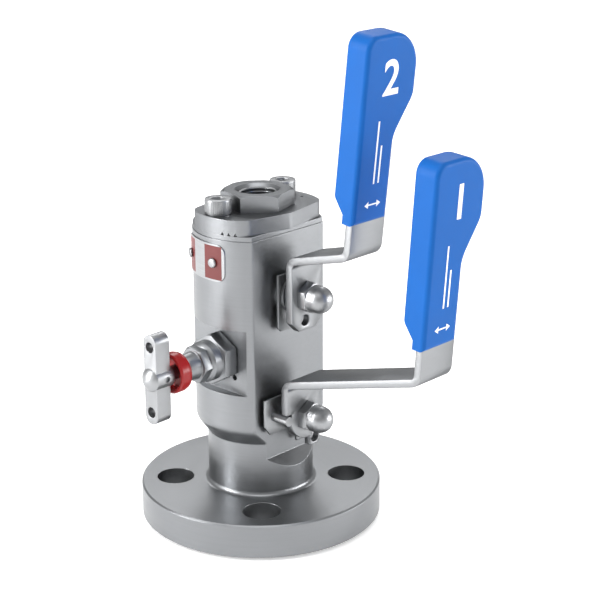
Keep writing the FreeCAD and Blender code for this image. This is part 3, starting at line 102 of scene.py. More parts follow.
# Name plate: its turn about the bore axis, where a red end starts and stops on either side of
# the plate's middle, and the bare rim above and below.
PLATE_TURN = math.radians(-15)
RED_START = math.radians(8.3)
RED_STOP = math.radians(27.5)
PLATE_RIM = 0.9 * MM

# Threads: turns of each, how far below the top face the outlet's stops, and the X at which the
# vent's starts on its way out. A ridge is this share of the pitch.
OUTLET_TURNS = 8.0
OUTLET_LEAD_IN = 1.6 * MM
VENT_TURNS = 6.0
VENT_START = -14.5 * MM
RIDGE_SHARE = 0.42

# Grain of the pieces that weren't turned: scale of the marks along X, Y and Z.
SHEET_GRAIN = (500, 90, 500)
FASTENER_GRAIN = (300, 300, 300)
CAST_GRAIN = (260, 260, 260)
PLATE_GRAIN = (60, 60, 1600)
SEAT_GRAIN = (700, 700, 700)

# How much a ring of tool marks changes on its way round.
RING_DRIFT = 0.8

# Knurls stand this far inside the screw head's wall.
KNURL_SINK = 0.05 * MM

# Marks on the grips. Each grip has its numeral, the foot of its lever's upright face in X and Z,
# and its outward lean. The other places are across and up from that foot.
GRIPS = {
    "primary": ("1", (116.597 * MM, 119.07 * MM), math.radians(4.5)),
    "secondary": ("2", (73.484 * MM, 170.106 * MM), math.radians(6.4)),
}
GRIP_WALL = 1.3 * MM
INK_SINK = 0.01 * MM
NUMBER_PLACE = (4 * MM, 69 * MM)
ARROW_PLACE = (-1 * MM, 9 * MM)
BAR_HEIGHT = 34 * MM
BAR_WIDTH = 1.0 * MM
BARS = ((-1.6 * MM, 1.0), (1.6 * MM, 0.6))
ARROW_HEAD = 2.6 * MM
ARROW_HALF_WIDTH = 1.7 * MM
ARROW_HALF_SHAFT = 0.35 * MM

# The font's numerals are this share of its size, and are made bolder by a share of their height.
NUMERAL_SHARE = 0.73
BOLDER = 0.022

# Colours of the plastic, graphite and rubber inside, and the darker and lighter colour of the
# ink and of the floor.
SEAT_TONE = (0.50, 0.44, 0.32)
PACKING_TONE = (0.035, 0.035, 0.038)
SEAL_TONE = (0.02, 0.02, 0.02)
INK_TONES = ((0.80, 0.80, 0.80), (0.90, 0.90, 0.90))
FLOOR_TONES = ((0.93, 0.93, 0.93), (0.95, 0.95, 0.95))

# Lamps: name, place, width and height, and power in watts. All point at the part's middle.
LAMPS = (
    ("key", (-0.72, -1.35, 0.60), (0.2, 1.3), 31),
    ("side", (1.3, 1.2, 0.30), (1.2, 0.5), 19),
    ("back", (-1.2, 1.2, 1.35), (1.4, 0.6), 12),
    ("top", (0.3, -0.3, 1.7), (1.4, 1.4), 14),
)
LAMP_AIM = Vector((0.02, 0, 0.12))

# The room is nearly white, a little lighter overhead. One dark patch behind the part is what
# its level faces mirror: the way to its middle, and the cosines between which it fades in.
ROOM_TONES = ((0.95, 0.95, 0.96), (1.0, 1.0, 1.0))
PATCH_TONE = (0.05, 0.05, 0.055)
PATCH_WAY = Vector((-0.70, 0.70, 0.22)).normalized()
PATCH_FADE = (0.945, 0.988)
PATCH_DEPTH = 0.9

# Angles of the camera, fitted to the rim and holes of the flange in the photograph, in radians.
CAMERA_YAW = -0.755782
CAMERA_PITCH = 0.319252
CAMERA_ROLL = -0.00492


# Sizes and colours a user would change


class ManifoldFinish(bpy.types.PropertyGroup):
    """Colours of the materials, and how wide the painted edge highlight and wear reach"""

    body_tone: bpy.props.FloatVectorProperty(
        name="Body steel", description="Colour of the forged and turned body", subtype="COLOR",
        default=(0.24, 0.247, 0.256), min=0, max=1)
    turned_tone: bpy.props.FloatVectorProperty(
        name="Turned steel", description="Colour of the small turned pieces", subtype="COLOR",
        default=(0.252, 0.259, 0.269), min=0, max=1)
    sheet_tone: bpy.props.FloatVectorProperty(
        name="Sheet steel", description="Colour of the levers and stop plates", subtype="COLOR",
        default=(0.32, 0.327, 0.336), min=0, max=1)
    bright_tone: bpy.props.FloatVectorProperty(
        name="Bright steel", description="Colour of screws, nuts and rivets", subtype="COLOR",
        default=(0.33, 0.336, 0.344), min=0, max=1)
    grip_tone: bpy.props.FloatVectorProperty(
        name="Grip", description="Colour of the moulded grips", subtype="COLOR",
        default=(0.006, 0.095, 0.36), min=0, max=1)
    cap_tone: bpy.props.FloatVectorProperty(
        name="Dust cap", description="Colour of the bleed dust cap", subtype="COLOR",
        default=(0.29, 0.005, 0.006), min=0, max=1)
    label_tone: bpy.props.FloatVectorProperty(
        name="Label ends", description="Colour of the two ends of the name plate", subtype="COLOR",
        default=(0.105, 0.007, 0.006), min=0, max=1)
    # Edges are painted lighter over this width: partly wear, partly a painted highlight.
    edge_radius: bpy.props.FloatProperty(
        name="Edge highlight and wear", description="Width over which edges get painted highlight and wear", subtype="DISTANCE",
        default=0.35 * MM, min=0.05 * MM, max=2 * MM)


class ManifoldMarks(bpy.types.PropertyGroup):
    """Sizes of the marks on the grips"""

    numeral_height: bpy.props.FloatProperty(
        name="Numeral height", description="Height of the number on each grip", subtype="DISTANCE",
        default=17 * MM, min=4 * MM, max=25 * MM)
    ink_thickness: bpy.props.FloatProperty(
        name="Ink thickness", description="How far the printed marks stand out of the grips",
        subtype="DISTANCE", default=0.06 * MM, min=0.02 * MM, max=0.4 * MM)
    arrow_length: bpy.props.FloatProperty(
        name="Arrow length", description="Length of the double-headed arrow", subtype="DISTANCE",
        default=11 * MM, min=4 * MM, max=18 * MM)
    bar_length: bpy.props.FloatProperty(
        name="Bar length", description="Length of the longer printed bar", subtype="DISTANCE",
        default=30 * MM, min=5 * MM, max=40 * MM)


class ManifoldThreads(bpy.types.PropertyGroup):
    """Sizes of the outlet's and the vent's thread"""

    outlet_radius: bpy.props.FloatProperty(
        name="Outlet radius", description="Wall of the tapped outlet", subtype="DISTANCE",
        default=MOUNTS["outlet"]["dims"]["r_mm"] * MM, min=5 * MM, max=15 * MM)
    outlet_pitch: bpy.props.FloatProperty(
        name="Outlet pitch", description="Pitch of the outlet thread", subtype="DISTANCE",
        default=1.81 * MM, min=0.5 * MM, max=4 * MM)
    vent_radius: bpy.props.FloatProperty(
        name="Vent radius", description="Wall of the tapped vent", subtype="DISTANCE",
        default=MOUNTS["vent"]["dims"]["r_mm"] * MM, min=3 * MM, max=10 * MM)
    vent_pitch: bpy.props.FloatProperty(
        name="Vent pitch", description="Pitch of the vent thread", subtype="DISTANCE",
        default=1.41 * MM, min=0.5 * MM, max=4 * MM)


class ManifoldKnurls(bpy.types.PropertyGroup):
    """Sizes of the knurled screw heads"""

    count: bpy.props.IntProperty(
        name="Ridges", description="Ridges round a screw head", default=44, min=12, max=90)
    ridge: bpy.props.FloatProperty(
        name="Ridge size", description="Half the width of a ridge", subtype="DISTANCE",
        default=0.2 * MM, min=0.05 * MM, max=1 * MM)
    head_radius: bpy.props.FloatProperty(
        name="Head radius", description="Radius of a retaining screw's head", subtype="DISTANCE",
        default=6.5 * MM, min=3 * MM, max=10 * MM)
    margin: bpy.props.FloatProperty(
        name="Plain rim", description="Plain height above and below the ridges", subtype="DISTANCE",
        default=0.7 * MM, min=0.1 * MM, max=2 * MM)


class ManifoldStage(bpy.types.PropertyGroup):
    """Camera, room and floor"""

    camera_place: bpy.props.FloatVectorProperty(
        name="Camera", description="Place of the camera", subtype="TRANSLATION",
        default=(0.568708, -0.573123, 0.381713))
    lens: bpy.props.FloatProperty(
        name="Lens", description="Focal length on a 36 mm sensor, in millimetres", default=100.98)
    room_light: bpy.props.FloatProperty(
        name="Room light", description="Strength of the soft room", default=0.6, min=0, max=3)
    floor_half: bpy.props.FloatProperty(
        name="Floor", description="Half the width of the floor", subtype="DISTANCE", default=6.0)


# Shader node groups and materials


def new_group(name, inputs, outputs):
    """An empty shader node group with its sockets, its nodes and its links."""
    tree = bpy.data.node_groups.new(name, "ShaderNodeTree")
    for label, kind, default in inputs:
        socket = tree.interface.new_socket(label, in_out="INPUT", socket_type=kind)
        if default is not None:
            socket.default_value = default
    for label, kind in outputs:
        tree.interface.new_socket(label, in_out="OUTPUT", socket_type=kind)
    return tree, tree.nodes.new("NodeGroupInput"), tree.nodes.new("NodeGroupOutput")


def math_node(tree, operation, first, second=None):
    """A sum, product or other operation on one or two sockets or numbers."""
    node = tree.nodes.new("ShaderNodeMath")
    node.operation = operation
    for socket, value in zip(node.inputs, (first, second)):
        if value is None:
            continue
        if isinstance(value, (int, float)):
            socket.default_value = value
        else:
            tree.links.new(value, socket)
    return node.outputs[0]


def spread(tree, value, low, high, new_low, new_high):
    """Stretches the range from low to high onto a new one, and holds it at its ends."""
    node = tree.nodes.new("ShaderNodeMapRange")
    for index, number in enumerate((low, high, new_low, new_high), start=1):
        node.inputs[index].default_value = number
    tree.links.new(value, node.inputs[0])
    return node.outputs[0]


def noise(tree, vector, scale, detail=3, roughness=0.55):
    """Soft random clouds from 0 to 1. The scale is a number or a socket."""
    node = tree.nodes.new("ShaderNodeTexNoise")
    node.inputs["Detail"].default_value = detail
    node.inputs["Roughness"].default_value = roughness
    if isinstance(scale, (int, float)):
        node.inputs["Scale"].default_value = scale
    else:
        tree.links.new(scale, node.inputs["Scale"])
    tree.links.new(vector, node.inputs["Vector"])
    return node.outputs["Fac"]


def build_tool_grain():
    """Fine tool marks: streaks from a stretched pattern, and a slow change of tone."""
    tree, source, result = new_group("tool_grain", [
        ("Streak Vector", "NodeSocketVector", None), ("Plain Vector", "NodeSocketVector", None),
        ("Cloud Scale", "NodeSocketFloat", 22.0)],
        [("Streaks", "NodeSocketFloat"), ("Clouds", "NodeSocketFloat"), ("Height", "NodeSocketFloat")])
    fine = noise(tree, source.outputs["Streak Vector"], 1.0, detail=5, roughness=0.7)
    streaks = spread(tree, fine, 0.3, 0.7, 0, 1)
    clouds = noise(tree, source.outputs["Plain Vector"], source.outputs["Cloud Scale"], detail=4)
    tree.links.new(streaks, result.inputs["Streaks"])
    tree.links.new(spread(tree, clouds, 0.25, 0.75, 0, 1), result.inputs["Clouds"])
    tree.links.new(math_node(tree, "MULTIPLY", streaks, 0.00002), result.inputs["Height"])
    return tree


def build_edge_highlight_and_wear():
    """Where a surface turns a corner, from the difference between rounded and true normals: the mask for
    painted edge highlight and wear.
    """
    tree, source, result = new_group("edge_highlight_and_wear", [("Radius", "NodeSocketFloat", 0.0004)],
                                     [("Highlight And Wear", "NodeSocketFloat"), ("Normal", "NodeSocketVector")])
    rounded = tree.nodes.new("ShaderNodeBevel")
    rounded.samples = 6
    tree.links.new(source.outputs["Radius"], rounded.inputs["Radius"])
    surface = tree.nodes.new("ShaderNodeNewGeometry")
    compare = tree.nodes.new("ShaderNodeVectorMath")
    compare.operation = "DOT_PRODUCT"
    tree.links.new(rounded.outputs["Normal"], compare.inputs[0])
    tree.links.new(surface.outputs["Normal"], compare.inputs[1])
    shine_and_wear = spread(tree, compare.outputs["Value"], 0.98, 0.75, 0, 1)
    tree.links.new(shine_and_wear, result.inputs["Highlight And Wear"])
    tree.links.new(rounded.outputs["Normal"], result.inputs["Normal"])
    return tree


def build_moulded_skin():
    """The fine grain of a moulded plastic, with faint scuffs."""
    tree, source, result = new_group("moulded_skin", [("Vector", "NodeSocketVector", None)],
                                     [("Scuffs", "NodeSocketFloat"), ("Height", "NodeSocketFloat")])
    pebbles = noise(tree, source.outputs["Vector"], 1400.0, detail=2)
    scuffs = noise(tree, source.outputs["Vector"], 55.0, detail=6, roughness=0.7)
    tree.links.new(spread(tree, scuffs, 0.45, 0.8, 0, 1), result.inputs["Scuffs"])
    tree.links.new(math_node(tree, "MULTIPLY", pebbles, 0.000035), result.inputs["Height"])
    return tree


GROUP_BUILDERS = {
    "tool_grain": build_tool_grain,
    "edge_highlight_and_wear": build_edge_highlight_and_wear,
    "moulded_skin": build_moulded_skin,
}
GROUPS = {}


def group(name):
    """A shader node group, built the first time that it is asked for."""
    if name not in GROUPS:
        GROUPS[name] = GROUP_BUILDERS[name]()
    return GROUPS[name]


def place_group(tree, name):
    """Puts one of the node groups into a material."""
    node = tree.nodes.new("ShaderNodeGroup")
    node.node_tree = group(name)
    return node


def new_material(name):
    """A material with its node tree and its shader."""
    material = bpy.data.materials.new(name)
    material.use_nodes = True
    tree = material.node_tree
    shader = next(node for node in tree.nodes if node.type == "BSDF_PRINCIPLED")
    return material, tree, shader


def object_point(tree, scale=None):
    """Place on the piece in metres, stretched if a scale is given."""
    coordinates = tree.nodes.new("ShaderNodeTexCoord")
    if scale is None:
        return coordinates.outputs["Object"]
    mapping = tree.nodes.new("ShaderNodeMapping")
    mapping.inputs["Scale"].default_value = scale
    tree.links.new(coordinates.outputs["Object"], mapping.inputs["Vector"])
    return mapping.outputs["Vector"]


def mix_tones(tree, amount, first, second):
    """From the first colour to the second. Either is a socket or plain numbers."""
    node = tree.nodes.new("ShaderNodeMix")
    node.data_type = "RGBA"
    tree.links.new(amount, node.inputs["Factor"])
    for socket, tone in ((node.inputs[6], first), (node.inputs[7], second)):
        if isinstance(tone, bpy.types.NodeSocket):
            tree.links.new(tone, socket)
        else:
            socket.default_value = tuple(tone)[:3] + (1,)
    return node.outputs[2]


def scaled(tone, factor):
    """A lighter or darker colour."""
    return tuple(min(1, part * factor) for part in tone)


def bump_to(tree, shader, height, normal=None, strength=0.6):
    """Feeds a height in metres to the shader as bumps, over a normal if there is one."""
    bump = tree.nodes.new("ShaderNodeBump")
    bump.inputs["Strength"].default_value = strength
    bump.inputs["Distance"].default_value = 1.0
    tree.links.new(height, bump.inputs["Height"])
    if normal is not None:
        tree.links.new(normal, bump.inputs["Normal"])
    tree.links.new(bump.outputs["Normal"], shader.inputs["Normal"])


def turned_point(tree, letter, centre, fineness):
    """Distance from a turning axis and place along it, so that a pattern on it makes rings."""
    shift = tree.nodes.new("ShaderNodeVectorMath")
    shift.operation = "SUBTRACT"
    shift.inputs[1].default_value = centre
    tree.links.new(object_point(tree), shift.inputs[0])
    parts = tree.nodes.new("ShaderNodeSeparateXYZ")
    tree.links.new(shift.outputs[0], parts.inputs[0])
    first, second = [parts.outputs[other] for other in "XYZ" if other != letter]
    squares = [math_node(tree, "MULTIPLY", side, side) for side in (first, second)]
    away = math_node(tree, "SQRT", math_node(tree, "ADD", squares[0], squares[1]))
    around = math_node(tree, "ARCTAN2", first, second)
    made = tree.nodes.new("ShaderNodeCombineXYZ")
    measures = ((away, fineness), (parts.outputs[letter], fineness), (around, RING_DRIFT))
    for socket, (value, scale) in zip(made.inputs, measures):
        tree.links.new(math_node(tree, "MULTIPLY", value, scale), socket)
    return made.outputs[0]


def steel(name, tone, grain, roughness=0.34, contrast=0.10, fineness=900, grazing=1.0):
    """Stainless steel with tool marks, slow tone changes, and edges painted lighter: partly wear, partly a
    painted highlight.

    The grain is a turning axis, for rings, or a scale along X, Y and Z, for streaks.
    """
    material, tree, shader = new_material(name)
    marks = place_group(tree, "tool_grain")
    turned = isinstance(grain[0], str)
    streak = turned_point(tree, *grain, fineness) if turned else object_point(tree, grain)
    tree.links.new(streak, marks.inputs["Streak Vector"])
    tree.links.new(object_point(tree), marks.inputs["Plain Vector"])
    shine_and_wear = place_group(tree, "edge_highlight_and_wear")
    shine_and_wear.inputs["Radius"].default_value = bpy.context.scene.manifold_finish.edge_radius
    darker, lighter = scaled(tone, 1 - contrast), scaled(tone, 1 + contrast)
    streaked = mix_tones(tree, marks.outputs["Streaks"], darker, lighter)
    half = math_node(tree, "MULTIPLY", marks.outputs["Clouds"], 0.35)
    clouded = mix_tones(tree, half, streaked, scaled(tone, 0.82))
    # Edges are painted lighter here: partly wear, partly a painted highlight.
    lit_and_worn = mix_tones(tree, shine_and_wear.outputs["Highlight And Wear"], clouded, scaled(tone, 1.45))
    tree.links.new(lit_and_worn, shader.inputs["Base Color"])
    shader.inputs["Metallic"].default_value = 1.0
    shader.inputs["Specular Tint"].default_value = (grazing, grazing, grazing, 1)
    rough = spread(tree, marks.outputs["Streaks"], 0, 1, roughness - 0.05, roughness + 0.07)
    dull = math_node(tree, "MULTIPLY", marks.outputs["Clouds"], 0.06)
    tree.links.new(math_node(tree, "ADD", rough, dull), shader.inputs["Roughness"])
    bump_to(tree, shader, marks.outputs["Height"], shine_and_wear.outputs["Normal"])
    return material


def plastic(name, tone, roughness, coat, gloss, edge_highlight_tone=1.8):
    """Moulded plastic with a fine skin, faint scuffs and edges painted lighter as a highlight."""
    material, tree, shader = new_material(name)
    skin = place_group(tree, "moulded_skin")
    tree.links.new(object_point(tree), skin.inputs["Vector"])
    shine_and_wear = place_group(tree, "edge_highlight_and_wear")
    shine_and_wear.inputs["Radius"].default_value = 0.0005
    amount = math_node(tree, "MULTIPLY", skin.outputs["Scuffs"], 0.25)
    scuffed = mix_tones(tree, amount, tone, scaled(tone, 1.35))
    # Edges are painted lighter here: a painted highlight on the rims.
    edge_highlight = math_node(tree, "MULTIPLY", shine_and_wear.outputs["Highlight And Wear"], 0.4)
    tree.links.new(mix_tones(tree, edge_highlight, scuffed, scaled(tone, edge_highlight_tone)), shader.inputs["Base Color"])
    rough = spread(tree, skin.outputs["Scuffs"], 0, 1, roughness, roughness + 0.14)
    tree.links.new(rough, shader.inputs["Roughness"])
    shader.inputs["Specular IOR Level"].default_value = gloss
    shader.inputs["Coat Weight"].default_value = coat
    shader.inputs["Coat Roughness"].default_value = 0.2
    bump_to(tree, shader, skin.outputs["Height"], shine_and_wear.outputs["Normal"], strength=0.5)
    return material


def name_plate_material(tones):
    """Satin plate with a dark red end at each side and a bare border all round."""
    material, tree, shader = new_material("name_plate_print")
    low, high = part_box("name_plate")
    middle = (low + high) / 2
    parts = tree.nodes.new("ShaderNodeSeparateXYZ")
    tree.links.new(object_point(tree), parts.inputs[0])
    backward = math_node(tree, "MULTIPLY", parts.outputs["Y"], -1.0)
    around = math_node(tree, "ARCTAN2", parts.outputs["X"], backward)
    sideways = math_node(tree, "ABSOLUTE", math_node(tree, "SUBTRACT", around, PLATE_TURN))
    upright = math_node(tree, "ABSOLUTE", math_node(tree, "SUBTRACT", parts.outputs["Z"], middle.z))
    inside_rim = math_node(tree, "LESS_THAN", upright, (high.z - low.z) / 2 - PLATE_RIM)
    outside_middle = math_node(tree, "GREATER_THAN", sideways, RED_START)
    inside_end = math_node(tree, "LESS_THAN", sideways, RED_STOP)
    band = math_node(tree, "MULTIPLY", outside_middle, inside_end)
    ends = math_node(tree, "MULTIPLY", band, inside_rim)
    marks = place_group(tree, "tool_grain")
    tree.links.new(object_point(tree, PLATE_GRAIN), marks.inputs["Streak Vector"])
    tree.links.new(object_point(tree), marks.inputs["Plain Vector"])
    darker, lighter = scaled(tones.bright_tone, 0.95), scaled(tones.bright_tone, 1.15)
    bare = mix_tones(tree, marks.outputs["Streaks"], darker, lighter)
    red = mix_tones(tree, marks.outputs["Clouds"], tones.label_tone, scaled(tones.label_tone, 1.3))
    tree.links.new(mix_tones(tree, ends, bare, red), shader.inputs["Base Color"])
    tree.links.new(math_node(tree, "SUBTRACT", 1.0, ends), shader.inputs["Metallic"])
    tree.links.new(spread(tree, ends, 0, 1, 0.33, 0.42), shader.inputs["Roughness"])
    bump_to(tree, shader, math_node(tree, "MULTIPLY", ends, 0.00005), strength=0.5)
    return material


def seat_material(name, tone, roughness):
    """Machined bearing plastic, graphite or rubber, with turning marks."""
    material, tree, shader = new_material(name)
    marks = place_group(tree, "tool_grain")
    tree.links.new(object_point(tree, SEAT_GRAIN), marks.inputs["Streak Vector"])
    tree.links.new(object_point(tree), marks.inputs["Plain Vector"])
    speckled = mix_tones(tree, marks.outputs["Streaks"], scaled(tone, 0.85), scaled(tone, 1.15))
    tree.links.new(speckled, shader.inputs["Base Color"])
    rough = spread(tree, marks.outputs["Clouds"], 0, 1, roughness - 0.06, roughness + 0.06)
    tree.links.new(rough, shader.inputs["Roughness"])
    bump_to(tree, shader, marks.outputs["Height"])
    return material


def dress(names, material):
    """Gives CAD nodes a material."""
    for name in names:
        node = NODES[name]
        if not node.material_slots:
            node.data.materials.append(material)
        for slot in node.material_slots:
            slot.material = material


# Mesh helpers


def object_from(name, mesh, materials):
    """An object at the origin for a finished mesh."""
    piece = bpy.data.objects.new(name, mesh)
    bpy.context.scene.collection.objects.link(piece)
    for material in materials:
        mesh.materials.append(material)
    return piece


def text_mesh(name, body, height, thickness):
    """Upright text in the XY plane as a mesh, centred on the origin, standing out along +Z."""
    curve = bpy.data.curves.new(name, "FONT")
    curve.body = body
    curve.size = height / NUMERAL_SHARE
    curve.extrude = thickness / 2
    curve.offset = height * BOLDER
    curve.resolution_u = 8
    holder = bpy.data.objects.new(name + "_text", curve)
    bpy.context.scene.collection.objects.link(holder)
    bpy.context.view_layer.update()
    mesh = bpy.data.meshes.new_from_object(holder.evaluated_get(bpy.context.evaluated_depsgraph_get()))
    bpy.data.objects.remove(holder)
    bpy.data.curves.remove(curve)
    across = [vertex.co.x for vertex in mesh.vertices]
    upward = [vertex.co.y for vertex in mesh.vertices]
    middle = Vector(((min(across) + max(across)) / 2, (min(upward) + max(upward)) / 2, 0))
    mesh.transform(Matrix.Translation(-middle + Vector((0, 0, thickness / 2))))
    return mesh


def slab_mesh(name, outline, thickness):
    """A thin plate over an anticlockwise outline of (x, y) corners, standing out along +Z."""
    count = len(outline)
    corners = [(x, y, z) for z in (0, thickness) for x, y in outline]
    faces = [tuple(reversed(range(count))), tuple(range(count, 2 * count))]
    for corner in range(count):
        after = (corner + 1) % count
        faces.append((corner, after, after + count, corner + count))
    mesh = bpy.data.meshes.new(name)
    mesh.from_pydata(corners, [], faces)
    return mesh


def joined(name, meshes):
    """One mesh out of several, which it uses up."""
    shape = bmesh.new()
    for mesh in meshes:
        shape.from_mesh(mesh)
        bpy.data.meshes.remove(mesh)
    mesh = bpy.data.meshes.new(name)
    shape.to_mesh(mesh)
    shape.free()
    return mesh


def softened(node, width, material, segments=2):
    """A copy of a CAD node whose edges are rounded a little. It stands for the node."""
    mesh = NODES[node].data.copy()
    shape = bmesh.new()
    shape.from_mesh(mesh)
    bmesh.ops.remove_doubles(shape, verts=shape.verts, dist=SAME_CORNER)
    bmesh.ops.dissolve_limit(shape, angle_limit=FLAT_EDGE, verts=shape.verts, edges=shape.edges)
    shape.to_mesh(mesh)
    shape.free()
    mesh.materials.clear()
    piece = object_from(node + "_softened", mesh, [material])
    rounding = piece.modifiers.new("rounding", "BEVEL")
    rounding.width = width
    rounding.segments = segments
    rounding.limit_method = "ANGLE"
    rounding.angle_limit = ROUNDED_EDGE
    rounding.miter_outer = "MITER_ARC"
    rounding.use_clamp_overlap = True
    bpy.context.view_layer.update()
    result = bpy.data.meshes.new_from_object(piece.evaluated_get(bpy.context.evaluated_depsgraph_get()))
    piece.modifiers.clear()
    piece.data = result
    bpy.data.meshes.remove(mesh)
    for face in result.polygons:
        face.use_smooth = True
    result.set_sharp_from_angle(angle=SHARP_EDGE)
    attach(piece, NODES[node]["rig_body"])
    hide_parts(node)


# Geometry Nodes helpers


def geometry_tree(name, inputs):
    """An empty geometry tree with its named inputs, and its first and last node."""
    tree = bpy.data.node_groups.new(name, "GeometryNodeTree")
    for label, kind, default in inputs:
        socket = tree.interface.new_socket(label, in_out="INPUT", socket_type=kind)
        if default is not None:
            socket.default_value = default
    tree.interface.new_socket("Geometry", in_out="OUTPUT", socket_type="NodeSocketGeometry")
    return tree, tree.nodes.new("NodeGroupInput"), tree.nodes.new("NodeGroupOutput")


def grown_mesh(name, tree, values):
    """Runs a geometry tree on an empty mesh with the named inputs, and keeps its result."""
    holder = bpy.data.objects.new(name + "_grower", bpy.data.meshes.new(name + "_seed"))
    bpy.context.scene.collection.objects.link(holder)
    modifier = holder.modifiers.new("grow", "NODES")
    modifier.node_group = tree
    for item in tree.interface.items_tree:
        if item.in_out == "INPUT" and item.name in values:
            modifier[item.identifier] = values[item.name]
    bpy.context.view_layer.update()
    mesh = bpy.data.meshes.new_from_object(holder.evaluated_get(bpy.context.evaluated_depsgraph_get()))
    holder.modifiers.clear()
    bpy.data.objects.remove(holder)
    return mesh


def thread_tree():
    """Thread ridges on a bore wall: a helix about Z that carries a three-sided profile."""
    tree, source, result = geometry_tree("thread_ridge", [
        ("Radius", "NodeSocketFloat", 0.009), ("Pitch", "NodeSocketFloat", 0.0018),
        ("Turns", "NodeSocketFloat", 8.0), ("Material", "NodeSocketMaterial", None)])
    link = tree.links.new
    helix = tree.nodes.new("GeometryNodeCurveSpiral")
    helix.inputs["Resolution"].default_value = 48
    link(source.outputs["Turns"], helix.inputs["Rotations"])
    link(source.outputs["Radius"], helix.inputs["Start Radius"])
    link(source.outputs["Radius"], helix.inputs["End Radius"])
    rise = tree.nodes.new("ShaderNodeMath")
    rise.operation = "MULTIPLY"
    link(source.outputs["Turns"], rise.inputs[0])
    link(source.outputs["Pitch"], rise.inputs[1])
    link(rise.outputs[0], helix.inputs["Height"])
    size = tree.nodes.new("ShaderNodeMath")
    size.operation = "MULTIPLY"
    size.inputs[1].default_value = RIDGE_SHARE
    link(source.outputs["Pitch"], size.inputs[0])
    profile = tree.nodes.new("GeometryNodeCurvePrimitiveCircle")
    profile.inputs["Resolution"].default_value = 4
    link(size.outputs[0], profile.inputs["Radius"])
    sweep = tree.nodes.new("GeometryNodeCurveToMesh")
    sweep.inputs["Fill Caps"].default_value = True
    link(helix.outputs[0], sweep.inputs["Curve"])
    link(profile.outputs[0], sweep.inputs["Profile Curve"])
    realize = tree.nodes.new("GeometryNodeRealizeInstances")
    link(sweep.outputs[0], realize.inputs[0])
    finish = tree.nodes.new("GeometryNodeSetMaterial")
    link(realize.outputs[0], finish.inputs["Geometry"])
    link(source.outputs["Material"], finish.inputs["Material"])
    link(finish.outputs[0], result.inputs[0])
    return tree


def knurl_tree():
    """Upright ridges on a circle, one for each point of a ring."""
    tree, source, result = geometry_tree("knurl", [
        ("Radius", "NodeSocketFloat", 0.0065), ("Count", "NodeSocketInt", 48),
        ("Ridge", "NodeSocketFloat", 0.0003), ("Height", "NodeSocketFloat", 0.006),
        ("Material", "NodeSocketMaterial", None)])
    link = tree.links.new
    ring = tree.nodes.new("GeometryNodeMeshCircle")
    link(source.outputs["Count"], ring.inputs["Vertices"])
    link(source.outputs["Radius"], ring.inputs["Radius"])
    ridge = tree.nodes.new("GeometryNodeMeshCylinder")
    ridge.inputs["Vertices"].default_value = 6
    link(source.outputs["Ridge"], ridge.inputs["Radius"])
    link(source.outputs["Height"], ridge.inputs["Depth"])
    copies = tree.nodes.new("GeometryNodeInstanceOnPoints")
    link(ring.outputs[0], copies.inputs["Points"])
    link(ridge.outputs["Mesh"], copies.inputs["Instance"])
    realize = tree.nodes.new("GeometryNodeRealizeInstances")
    link(copies.outputs[0], realize.inputs[0])
    finish = tree.nodes.new("GeometryNodeSetMaterial")
    link(realize.outputs[0], finish.inputs["Geometry"])
    link(source.outputs["Material"], finish.inputs["Material"])
    link(finish.outputs[0], result.inputs[0])
    return tree


# Operators, one for each piece or group of like pieces


